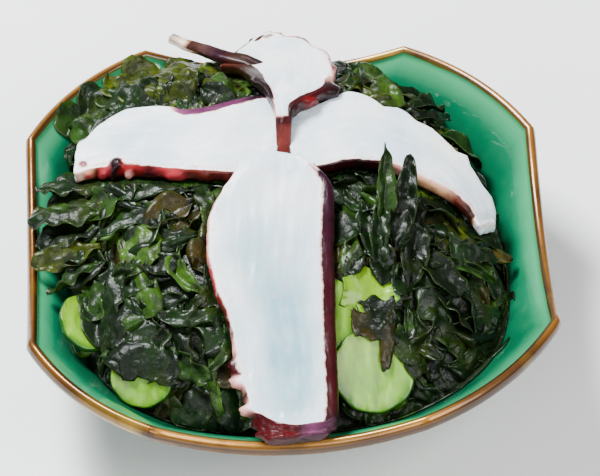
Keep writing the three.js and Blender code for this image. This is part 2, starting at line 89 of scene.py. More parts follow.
HEAP_CENTRE = (0, 10)
HEAP_REACH_X, HEAP_REACH_FRONT, HEAP_REACH_BACK = 64.0, 71.0, 60.0
HEAP_TOP = RIM_HEIGHT + 12.3
HEAP_FOOT = RIM_HEIGHT - 10
# how far the heap's foot rises towards the right and towards the back
HEAP_FOOT_SLOPE = (-3.5, 7.0)
# the hollow that the front cucumber lies in: x, y, radius, depth
HEAP_HOLLOW = (22, -42, 15, 4.5)
# where the heap's edge lies further in: direction, share of its reach, width in degrees
HEAP_DENT = (34, 0.12, 28)

SLICE_THICKNESS, TONGUE_THICKNESS, CUCUMBER_THICKNESS = 5.0, 3.6, 1.8
# x, y, top height over the rim, width to the left and right of the spine, sideways tilt
SLICES = {
    "octopus_front": """-3.4 12.6 22.6 12 11 0; -4 8 22.4 12.4 11.2 0; -4 1 20.5 17 15.6 0;
    -4.5 -9 18 17.4 19.6 0; -5 -19 15.2 17.3 20.2 0; -5.5 -30 11.7 17.8 18.6 0;
    -5 -41 8.1 17 16 0; -4 -51 5 15.9 14 0; -3 -60 2.4 14.8 12.6 0; -2 -68 1.1 13.6 11.2 0;
    -1.5 -73.2 .2 12 10.2 0; -1.2 -75.8 -.6 9 8.6 0""",
    "octopus_left": """-3 26 16.8 8 14 0; -7 26 16.8 14.5 16.5 0; -14 26 16.6 16.1 15.5 0;
    -22 26.3 15.9 14.8 13.6 0; -32 28 13.6 13.3 12.8 0; -42 31 10.6 13.2 14.6 0;
    -49 32.6 8.4 12.6 14.2 0; -55 33 6.6 11.4 11 0; -60.4 32.4 5 9 4.6 0""",
    "octopus_right": """1.2 22 16.8 9.2 8.5 0; 7 23 16.8 11.8 12 0; 14 25 16.8 13 12 0;
    22 26.5 16.5 15.2 13 0; 31 25 15.1 13.2 12.1 -3; 39 21.5 13.4 11.6 11.4 -8;
    46 17 10.8 10.8 11.2 -16; 52.5 11 7 9 8.5 -26; 56.8 5.6 3.2 7 6.4 -34;
    58.2 2.6 .9 5.8 5.2 -38""",
    "octopus_back": """-.8 16.4 15.2 1.3 1.3 0; -.7 21 17.6 1.9 1.7 0; -.6 26.5 21 2.1 2.1 0;
    -.2 31 22.7 3.2 3 0; .8 36 22.3 6 6.4 0; 2.4 43 20 10.6 11.6 0; 3.2 52 16 13.4 12.9 0;
    2.6 61 11.8 15.6 12.4 0; .6 70 7.8 20.2 9.2 0; -2.4 77 4.8 13 5 0; -4 80.4 3.4 6 2.8 0""",
}
TONGUE = rows_of("""-6.5 59.5 11.4 2.6 2.2 0; -10.9 62.6 11.4 2.5 2.1 0;
    -16.9 66 10.2 2.3 1.9 0; -22.8 71.7 7.6 2 1.8 0; -28.3 76.8 5 1.7 1.5 0;
    -32.8 81 3.6 1.3 1.3 0""")
# x, y, height over the rim, radius, forward tilt, sideways tilt, wave
CUCUMBERS = {
    "cucumber_under_slice": (6.5, -36, 4.6, 12.3, 30, 8, 0.3),
    "cucumber_front": (22.5, -50, -5.4, 12.5, 34, 10, 0.5),
    "cucumber_curled": (22, -30.5, 5.6, 8.5, 26, 6, 1.6),
    "cucumber_left": (-60, -27, -6.5, 9.5, 8, 24, 0.7),
    "cucumber_front_left": (-44.5, -48.5, -6, 9.5, 38, -10, 0.6),
}

# ---- helpers ----


def smooth(low, high, x):
    """0 below low, 1 above high, and a smooth step between them."""
    t = min(max((float(x) - low) / (high - low), 0.0), 1.0)
    return t * t * (3 - 2 * t)


def lerp(a, b, t):
    return a + (b - a) * t


def wobble(p, size, octaves=3):
    """Smooth noise about -1 to 1, whose bumps are as wide as size in millimetres."""
    return noise.fractal(Vector(p) / size, 1.0, 2.0, octaves)


class Curve:
    """A centripetal Catmull-Rom curve through points, run by an even parameter from 0 to 1."""

    def __init__(self, points):
        p = np.array(points, float)
        self.p = np.vstack([2 * p[0] - p[1], p, 2 * p[-1] - p[-2]])
        self.last = len(p) - 1

    def at(self, t):
        place = t * self.last
        i = min(int(math.floor(place)), self.last - 1)
        w = place - i
        p0, p1, p2, p3 = self.p[i:i + 4]
        d0, d1, d2 = (max(np.sum((b - a) ** 2), 1e-8) ** 0.25
                      for a, b in ((p0, p1), (p1, p2), (p2, p3)))
        t1 = ((p1 - p0) / d0 - (p2 - p0) / (d0 + d1) + (p2 - p1) / d1) * d1
        t2 = ((p2 - p1) / d1 - (p3 - p1) / (d1 + d2) + (p3 - p2) / d2) * d1
        return (p1 + t1 * w + (-3 * p1 + 3 * p2 - 2 * t1 - t2) * w ** 2
                + (2 * p1 - 2 * p2 + t1 + t2) * w ** 3)


def link(name, data):
    """A new object in the scene that holds the data."""
    obj = bpy.data.objects.new(name, data)
    bpy.context.scene.collection.objects.link(obj)
    return obj


def stand(name, data, place, back):
    """A camera or a light at a place, looking away from the way back."""
    obj = link(name, data)
    obj.location = place
    obj.rotation_euler = back.to_track_quat("Z", "Y").to_euler()
    return obj


def new_object(name, points, faces, attributes):
    """A mesh object from millimetre points; attributes hold one number or colour a point."""
    mesh = bpy.data.meshes.new(name)
    mesh.from_pydata(((np.asarray(points) + ORIGIN_SHIFT) / 1000).tolist(), [], faces)
    mesh.update()
    for key, values in attributes.items():
        values = np.asarray(values, np.float32)
        kind, field = ("FLOAT", "value") if values.ndim == 1 else ("FLOAT_COLOR", "color")
        layer = mesh.attributes.new(key, kind, "POINT")
        layer.data.foreach_set(field, values.ravel())
    mesh.polygons.foreach_set("use_smooth", [True] * len(mesh.polygons))
    return link(name, mesh)


def ring_faces(rings, count):
    """Quads between rings of count points each, every ring closed on itself."""
    return [(r + k, r + n, r + count + n, r + count + k)
            for r in range(0, (rings - 1) * count, count)
            for k, n in enumerate([*range(1, count), 0])]


def closed_faces(rings, count):
    """ring_faces and a fan at each end, to the first and the second point after the rings."""
    low, start = rings * count, (rings - 1) * count
    following = [*range(1, count), 0]
    return (ring_faces(rings, count) + [(low, n, k) for k, n in enumerate(following)]
            + [(low + 1, start + k, start + n) for k, n in enumerate(following)])


def dress(obj, material, node):
    """Gives a piece its material and its body, and hides the imported part of the node that it
    stands for.
    """
    obj.data.materials.append(material)
    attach(obj, "root")
    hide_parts(node)
    return obj


# a height over everything, where rays start
SKY = 200


def ray_height(tree, x, y, upward=False):
    """Where a vertical ray first meets a tree, from above or from below, or None."""
    start, way = (0, 1) if upward else (SKY, -1)
    hit = tree.ray_cast(Vector((x, y, start)), Vector((0, 0, way)))[0]
    return None if hit is None else hit.z


class Shader:
    """A short way to build a node tree."""

    def __init__(self, name):
        self.material = bpy.data.materials.new(name)
        self.material.use_nodes = True
        self.nodes = self.material.node_tree.nodes
        self.links = self.material.node_tree.links
        self.surface = self.nodes["Principled BSDF"]

    def add(self, kind, inputs=None, **settings):
        node = self.nodes.new(kind)
        for key, value in settings.items():
            setattr(node, key, value)
        for key, value in (inputs or {}).items():
            self.feed(node.inputs[key], value)
        return node

    def feed(self, socket, value):
        if isinstance(value, bpy.types.NodeSocket):
            self.links.new(value, socket)
        elif isinstance(value, bpy.types.Node):
            self.links.new(value.outputs[0], socket)
        else:
            socket.default_value = value

    def set(self, **inputs):
        for key, value in inputs.items():
            self.feed(self.surface.inputs[key.replace("_", " ")], value)

    def attribute(self, name, output="Fac"):
        return self.add("ShaderNodeAttribute", attribute_name=name).outputs[output]

    def position(self):
        return self.add("ShaderNodeTexCoord").outputs["Object"]

    def noise(self, scale, detail=3.0, roughness=0.55, vector=None, distortion=0.0):
        return self.add("ShaderNodeTexNoise", {
            "Vector": vector or self.position(), "Scale": scale, "Detail": detail,
            "Roughness": roughness, "Distortion": distortion,
        }).outputs["Fac"]

    def ramp(self, value, stops):
        """Colour from a number: the stops are rows of text, each a place and a colour."""
        node = self.add("ShaderNodeValToRGB", {"Fac": value})
        elements, rows = node.color_ramp.elements, rows_of(stops)
        while len(elements) < len(rows):
            elements.new(0.5)
        for element, (place, *colour) in zip(elements, rows):
            element.position, element.color = place, (*colour, 1)
        return node.outputs["Color"]

    def span(self, value, low, high, to_low=0.0, to_high=1.0):
        return self.add("ShaderNodeMapRange", {
            "Value": value, "From Min": low, "From Max": high,
            "To Min": to_low, "To Max": to_high,
        }).outputs["Result"]

    def math(self, operation, a, b):
        return self.add("ShaderNodeMath", {0: a, 1: b}, operation=operation).outputs[0]

    def times(self, a, b):
        return self.math("MULTIPLY", a, b)

    def mix(self, share, a, b, blend="MIX"):
        a, b = ((*value, 1) if isinstance(value, tuple) else value for value in (a, b))
        return self.add("ShaderNodeMix", {"Factor": share, 6: a, 7: b},
                        data_type="RGBA", blend_type=blend).outputs[2]

    def layers(self, base, *layers):
        """Colours laid over a base in turn, each as its share, colour and, if not MIX, blend."""
        for share, *colour_and_blend in layers:
            base = self.mix(share, base, *colour_and_blend)
        return base

    def bump(self, height, strength, distance, normal=None):
        inputs = {"Height": height, "Strength": strength, "Distance": distance}
        if normal:
            inputs["Normal"] = normal
        return self.add("ShaderNodeBump", inputs).outputs["Normal"]


# ---- camera ----

ELEVATION, AZIMUTH = math.radians(47.59), math.radians(-2.35)
DISTANCE = 1.4589
TARGET = Vector((3.14, -1.69, RIM_HEIGHT)) / 1000 + Vector(ORIGIN_SHIFT) / 1000
FOCAL_PIXELS, PHOTO_WIDTH, SENSOR_WIDTH = 4917.0, 600, 36.0

back = Vector((
    math.sin(AZIMUTH) * math.cos(ELEVATION),
    -math.cos(AZIMUTH) * math.cos(ELEVATION),
    math.sin(ELEVATION),
))
camera_data = bpy.data.cameras.new("camera")
camera_data.sensor_width = SENSOR_WIDTH
camera_data.lens = FOCAL_PIXELS / PHOTO_WIDTH * SENSOR_WIDTH
bpy.context.scene.camera = stand("camera", camera_data, TARGET + back * DISTANCE, back)

# ---- dish ----


def rim_outline(steps):
    """Points of the lip's centre line, the way out at each, and its share of the sag."""
    points, sag = [], []
    for edge, (x0, y0) in enumerate(RIM_CORNERS):
        x1, y1 = RIM_CORNERS[(edge + 1) % 8]
        straight = edge % 2 == 0
        length = math.hypot(x1 - x0, y1 - y0)
        for k in range(steps):
            t = k / steps
            arch = 4 * t * (1 - t)
            bow = 0 if straight else CORNER_BOW * arch / length
            points.append((lerp(x0, x1, t) + (y1 - y0) * bow, lerp(y0, y1, t) - (x1 - x0) * bow))
            sag.append(arch if straight else 0)
    p = np.array(points)
    tangent = np.roll(p, -1, 0) - np.roll(p, 1, 0)
    tangent /= np.linalg.norm(tangent, axis=1)[:, None]
    return p, np.column_stack([tangent[:, 1], -tangent[:, 0]]), np.array(sag)


def dish_ring(row, outline):
    p, out, sag = outline
    reach, outside, height, roundness = row
    foot = FOOT_RADIUS / DISH_HALF
    share = max(0, (reach - foot) / (1 - foot)) ** 1.5
    circle = DISH_HALF / np.linalg.norm(p, axis=1)
    scale = reach * lerp(1, circle, roundness)
    xy = p * scale[:, None] + out * outside
    return np.column_stack([xy, height - RIM_DIP * sag * share])


# points along each of the lip's eight edges
RIM_STEPS = 26
# how far the dish's profile keeps to a smooth curve through its rows, 0.5 at most
PROFILE_EASE = 0.375
# rows of the foot's underside, which stay straight
STRAIGHT_ROWS = 4


def make_dish():
    outline = rim_outline(RIM_STEPS)
    count = len(outline[0])
    table = np.array([DISH_ROWS[0], *DISH_ROWS, DISH_ROWS[-1]])
    last = len(DISH_ROWS) - 1
    rings, profile = [], []
    for i in range(last):
        before, a, b, after = table[i:i + 4]
        m0, m1 = (b - before) * PROFILE_EASE, (after - a) * PROFILE_EASE
        steps = 4 if LIP_START - 1 <= i <= LIP_END else 5
        for t in (s / steps for s in range(steps)):
            row = ((2 * t ** 3 - 3 * t ** 2 + 1) * a + (t ** 3 - 2 * t ** 2 + t) * m0
                   + (-2 * t ** 3 + 3 * t ** 2) * b + (t ** 3 - t ** 2) * m1)
            if i < STRAIGHT_ROWS:
                row = lerp(a, b, t)
            row[2] = max(row[2], 0)
            rings.append(dish_ring(row, outline))
            profile.append(i + t)
    rings.append(dish_ring(DISH_ROWS[-1], outline))
    profile.append(last)
    points = np.vstack([*rings, [0, 0, DISH_ROWS[0][2]], [0, 0, FLOOR_HEIGHT]])
    return new_object("dish_glazed", points, closed_faces(len(rings), count), {
        "profile": np.append(np.repeat(profile, count), [0, last]),
        "around": np.append(np.tile(np.arange(count) / count, len(rings)), [0, 0]),
    })


def glaze_material():
    s = Shader("glaze_and_gilt")
    profile, around = s.attribute("profile"), s.attribute("around")
    fine = s.noise(160, 3)
    shifted = s.math("ADD", profile, s.span(s.noise(55, 3), 0.3, 0.7, -0.25, 0.25))
    # the gilt covers the lip from its underside to just over its ridge
    gilt = s.times(s.span(shifted, LIP_START - 0.9, LIP_START - 0.5),
                   s.span(shifted, LIP_END - 0.55, LIP_END - 0.85))
    # the glaze is paler just under the lip on the inside, a painted highlight, and darker lower
    # down inside, painted shade from the heap; it is darker on the outside below the lip, and
    # stops at the foot
    thin = s.times(s.span(profile, LIP_END + 0.9, LIP_END + 0.1),
                   s.span(profile, LIP_END - 1.0, LIP_END - 0.6))
    green = s.layers(
        s.ramp(s.noise(28, 4, 0.6), ".3 .001 .085 .036; .5 .002 .125 .055; .72 .008 .18 .08"),
        (s.times(thin, 0.6), (0.05, 0.36, 0.15)),
        (s.times(s.span(profile, LIP_END + 0.9, LIP_END + 2.4), 0.8), (0.0004, 0.036, 0.013)),
        (s.times(s.span(profile, LIP_START - 0.5, LIP_START - 1.5), 0.5), (0.001, 0.07, 0.035)),
        (s.span(profile, 4.2, 3.4), (0.20, 0.15, 0.10)))
    # gold: darker where it turns under, as painted shade, a dark line, and bright on its ridge,
    # as a painted highlight
    gold = s.ramp(s.span(profile, LIP_START - 0.5, LIP_END), """0 .008 .003 .0006;
        .26 .2 .085 .01; .42 .016 .008 .0015; .54 .28 .125 .016; .68 .56 .29 .075;
        .79 .055 .02 .003; .9 .36 .28 .075; .97 .014 .012 .002""")
    # away from the front, and more so at the left, the gilt is darker and browner
    away = s.times(s.span(around, 0.10, 0.16), s.span(around, 1.0, 0.97, 0.4, 1.0))
    left = s.times(s.span(around, 0.70, 0.76), s.span(around, 1.0, 0.96))
    gold = s.layers(
        gold,
        (s.span(s.noise(14, 3, 0.65), 0.48, 0.62, 0, 0.7), (0.040, 0.014, 0.002)),
        (s.span(s.noise(22, 2, 0.5), 0.62, 0.7, 0, 0.8), (0.55, 0.40, 0.10)),
        (s.span(fine, 0.52, 0.7, 0, 0.4), (0.024, 0.010, 0.002)),
        (away, (0.60, 0.52, 0.36), "MULTIPLY"),
        (s.times(left, 0.8), (0.50, 0.44, 0.34), "MULTIPLY"),
        (1.0, (1.0, 0.93, 0.55), "MULTIPLY"))
    s.set(
        Base_Color=s.mix(gilt, green, gold),
        Metallic=s.times(gilt, 0.5),
        Roughness=s.span(gilt, 0.0, 1.0, s.span(fine, 0.3, 0.7, 0.08, 0.16), 0.3),
        Coat_Weight=0.3, Coat_Roughness=0.06,
        Normal=s.bump(s.noise(38, 2), 0.2, 0.0015, s.bump(s.noise(330, 2), 0.1, 0.0003)))
    return s.material


# ---- octopus ----

# Numbers in a row, by the name of its table:
# left, right: place along the slice, width of the edge's bevel, outline moved out by, how much
#   skin, height of the ruffles, colour.
# spread_left, spread_right: place along, how far skin goes on over the top from that bevel.
# soft: width of that skin's soft end.
# suckers: side (1 left, -1 right), place along, depth, radius, height, skin, colour.
# lumps on top: place along, distance in from the edge (positive from the left edge, negative
#   from the right), radius, height, colour.
# over, skin over the top: place along, amount, colour.
# veils, bluish patches: place along, place across, length, width, amount.
# cover, where skin over the end begins: place across (-1 right, 1 left), place along.
# end_sides: place across, colour of that skin.
# end: skin, colour, bulge, then how far the right and left corners are drawn out.
# start: skin, colour, bulge. under: skin, colour.
# rounded: share of the length over which the start and the end round off.
LOOKS = {
    "octopus_front": {
        "rounded": ".085 0",
        "soft": "1.9",
        "left": """0 1.2 0 .2 .1 MAUVE; .1 1.4 0 .6 .1 PLUM; .2 2 0 .95 .12 PLUM;
        .6 2 0 1 .15 WINE; .85 2 .2 1 .2 WINE; .93 1.8 .6 1 .3 PLUM; 1 1.8 .8 1 .3 MAUVE""",
        "spread_left": ".08 0; .16 .5; .3 .9; .6 .8; .9 .7; .95 .3",
        "right": """0 1.2 0 .1 .2 PINK; .12 1.2 0 .3 .25 PINK; .2 1.2 0 .75 .3 WINE;
        .3 1.2 0 .42 .35 PINK; .42 1.2 -.6 .5 .4 ROSE; .5 1.3 -1.8 .6 .5 RUST;
        .56 1.3 -1.6 .5 .5 BROWN; .61 1.4 -.6 .6 .5 PINK; .645 1.8 .3 1 .4 WINE;
        .685 1.8 .3 1 .4 WINE; .7 1.2 .5 .4 .4 PINK; .75 1.4 .3 .8 .4 BLACK;
        .8 1.2 .8 .35 .4 PINK; .84 1.6 .4 1 .4 WINE; 1 2 0 1 .4 RED""",
        "suckers": """-1 .66 1.6 2.8 2.4 1 WINE; -1 .7 1.6 1.7 3.4 .45 PINK;
        -1 .75 3 1.6 1.2 1 BLACK; -1 .8 1.8 2 3.2 .45 PINK; -1 .86 2.8 1.9 1.6 1 WINE;
        -1 .925 2.6 1.8 1.6 1 RED; 1 .95 2.6 1.8 1 1 MAUVE""",
        "veils": ".36 -.35 .15 .4 .75; .6 .1 .2 .42 1; .78 -.1 .2 .7 .7; .45 .5 .3 .3 .4",
        "cover": "-1 .815; -.72 .855; -.35 .905; 0 .935; .7 .94; .85 .925; 1 .88",
        "end": "1 WINE .9 0 0",
        "under": "1 BLACK",
        "end_sides": "-1 WINE; -.3 CRIMSON; .15 WINE; .5 MAUVE; 1 PLUM",
    },
    "octopus_left": {
        "left": """0 1 0 .2 .1 PINK; .12 1 0 .85 .2 BLACK; .25 1 0 1 .3 CRIMSON;
        .35 1 0 1 .3 BRICK; .44 1 0 1 .35 BRICK; .5 1.1 0 1 .35 ROSE; .56 1.8 -.3 1 .45 WINE;
        .62 2.4 -.8 1 .45 RED; .7 2.6 -1 1 .45 RED; .77 2 -.8 1 .45 BLACK;
        .83 1.5 -.8 1 .45 ROSE; .9 1.4 -.8 1 .45 RUST; .95 1.2 -.3 .6 .4 PEACH;
        1 1 .5 .25 .3 PEACH""",
        "right": """0 1.2 0 .3 .1 PLUM; .07 1.6 0 1 .15 BLACK; .16 2 0 1 .2 PLUM;
        .26 2 0 .95 .2 PURPLE; .44 2.3 .2 1 .2 PURPLE; .54 1.8 .2 .9 .2 MAUVE;
        .58 1.2 0 .1 .2 PINK; .75 1.2 -.4 .02 .25 CREAM; .85 1.2 -2 .02 .25 CREAM;
        .95 1.2 -2.3 .02 .3 CREAM; 1 1.2 -.5 .05 .3 CREAM""",
        "suckers": """1 .3 2.8 1.7 .8 1 RUST; 1 .385 2.7 1.8 .9 1 RUST;
        1 .48 2.9 2.2 1.5 1 ROSE; 1 .56 2.6 1.8 .9 1 WINE; 1 .66 3.2 1.6 1.5 .5 PINK;
        1 .78 2.6 1.9 1.2 1 BLACK; 1 .86 2.6 1.9 1.3 1 ROSE; 1 .94 2 1.4 .9 .6 ROSE""",
        "lumps": ".765 2 3.4 1.6 BLACK; .965 3.2 1.4 .8 MAUVE",
        "spread_right": ".05 0; .12 .5; .3 1.2; .5 1.3; .56 .8; .58 0",
        "veils": ".2 0 .12 .6 .3; .5 -.3 .15 .3 .25; .75 .3 .1 .4 .15",
        "end": ".06 CREAM .8 .4 3.2",
    },
    "octopus_right": {
        "left": """0 1 0 .1 .1 PINK; .26 1 .3 .1 .2 PINK; .32 1 1.3 .12 .2 PINK;
        .365 1.1 -.8 .2 .2 PINK; .4 1.2 -2.6 .25 .2 PINK; .44 1 -.4 .1 .2 CREAM;
        .465 1 -.6 .1 .2 CREAM; .5 1.2 -1.8 .2 .3 PINK; .56 1 -.8 .1 .3 CREAM;
        .62 1 -1.5 .15 .3 PINK; .665 1 -1.6 .2 .3 PINK; .69 1 1 .25 .2 PINK;
        .72 1 -.6 .1 .3 PINK; .79 1.1 -.4 .1 .3 CREAM; .84 1.2 1.3 .06 .2 CREAM;
        .92 1.2 .8 .06 .2 CREAM; 1 1 0 .1 .2 CREAM""",
        "right": """0 1 0 .1 .1 PINK; .11 1 0 .95 .15 WINE; .35 1 0 1 .25 BLACK;
        .46 1 0 .95 .3 WINE; .56 1.4 0 .5 .3 PINK; .66 2.2 0 .5 .3 PEACH;
        .75 2.8 0 .7 .3 PEACH; .82 3.2 0 1 .25 RUST; .88 3 0 1 .2 BROWN; .95 2.4 0 1 .2 BROWN;
        .975 1.4 0 .3 .2 PEACH; 1 1 0 .1 .2 CREAM""",
        "veils": ".35 0 .15 .5 .2; .62 .1 .15 .4 .3",
        "end": ".1 CREAM 1.4 2.2 -2",
    },
    "octopus_back": {
        "left": """0 .4 .3 1 .1 RED; .2 .4 .3 1 .1 WINE; .24 .6 0 .3 .1 PINK;
        .36 .8 0 .9 .2 BLACK; .5 1.4 0 1 .4 BLACK; .7 1.6 0 1 .4 BROWN; .86 .9 0 .9 .7 RUST;
        .93 .9 -.3 1 .8 UMBER; 1 1 0 1 .8 BROWN""",
        "right": """0 .4 .3 1 .1 RED; .2 .4 .3 1 .1 WINE; .26 .7 0 1 .2 BLACK;
        .36 1 0 1 .35 WINE; .46 1.1 0 1 .4 WINE; .52 1.1 .2 1 .4 BLACK; .57 1 -.6 .6 .9 PINK;
        .62 1 .4 1 .9 RUST; .67 1 -.7 .5 .9 PINK; .72 1 .4 .9 .9 GREY; .77 1 -.7 .5 1 PINK;
        .82 1 .5 .8 1 UMBER; .88 1 -.6 .5 1 PINK; .94 1 .5 .8 .9 GREY; 1 1 0 .6 .8 GREY""",
        "spread_left": ".3 0; .42 .8; .55 1.6; .66 2.2; .8 2.4; .86 .6; 1 .5",
        "spread_right": """.24 .5; .33 1.4; .42 1.8; .5 1.3; .545 1.6; .57 0; .62 .6; .67 .1;
        .8 .5; 1 .4""",
        "suckers": """1 .53 2.4 2.2 1 1 BLACK; -1 .31 3 2.4 1.2 1 CRIMSON;
        -1 .4 2.9 2.9 2 1 RED; -1 .505 2.6 2.6 3.4 1 BLACK""",
        "over": """0 1 WINE; .04 1 RUST; .1 1 BRICK; .16 1 BRICK; .19 1 WINE; .215 1 WINE;
        .24 0 WINE; 1 0 WINE""",
        "lumps": ".95 -4 1.6 .8 GREY; .965 5.5 1.6 .8 BROWN",
        "end": ".5 GREY .8 0 0",
        "start": "1 WINE .3",
    },
    "tongue": {
        "left": """0 1.2 0 1 .2 BLACK; .3 1.2 0 1 .3 BROWN; .62 1.2 0 1 .3 PLUM;
        .72 1 0 .3 .3 PEACH; 1 .7 0 .1 .2 CREAM""",
        "right": "0 1 0 .9 .2 BLACK; .6 1 0 1 .3 PLUM; .78 .8 0 .6 .3 RUST; 1 .6 0 .3 .2 GREY",
        "over": """0 1 BLACK; .3 1 BROWN; .45 1 PLUM; .62 1 UMBER; .76 1 BROWN; .82 .2 PEACH;
        .93 .5 GREY; 1 .9 GREY""",
        "spread_left": "0 1; .6 1; .7 0",
        "spread_right": "0 1; .6 1; .7 .3",
        "end": ".7 GREY .6 0 0",
    },
}
# of a slice that has no such table
PLAIN_LOOK = {"rounded": "0 0", "soft": ".5", "under": "0 CREAM", "start": ".05 CREAM .5"}


class Slab:
    """Places on a slice, from its rows."""

    def __init__(self, rows, rounded):
        self.rounded = rounded
        self.spine = Curve([r[:3] for r in rows])
        self.widths = Curve([r[3:] for r in rows])

    def place(self, t):
        """The spine's point, the ways ahead and to the left, and the widths to either side."""
        low, high = max(t - 1e-4, 0), min(t + 1e-4, 1)
        ahead = self.spine.at(high) - self.spine.at(low)
        ahead /= np.hypot(ahead[0], ahead[1])
        left, right, tilt = self.widths.at(t)
        for reach, away in zip(self.rounded, (t, 1 - t)):
            if away < reach:
                share = math.sqrt(max(0.01, 1 - (1 - away / reach) ** 2))
                left, right = left * share, right * share
        slope = math.radians(tilt)
        to_left = np.array([-ahead[1] * math.cos(slope), ahead[0] * math.cos(slope),
                            math.sin(slope)])
        centre = self.spine.at(t) + np.array([0, 0, RIM_HEIGHT])
        return centre, np.array([ahead[0], ahead[1], 0]), to_left, left, right


def read_table(rows, t):
    return np.array([np.interp(t, rows[:, 0], rows[:, c]) for c in range(1, rows.shape[1])])


# steps in which a slice's length is measured, and the distance between its rings
SPINE_STEPS, RING_PITCH = 60, 0.5
# points in a ring on the top, each side and the underside, and how far a side turns in below
TOP_COUNT, SIDE_COUNT, LOW_COUNT = 40, 11, 14
UNDERCUT = 0.9
# how much darker the skin gets towards the underside
DEEPENS = 0.3
# scale and way out of the rings that close an end
CAP_RINGS = [(0.985, 0.35), (0.94, 0.7), (0.8, 1.0), (0.5, 1.15), (0.2, 1.2)]


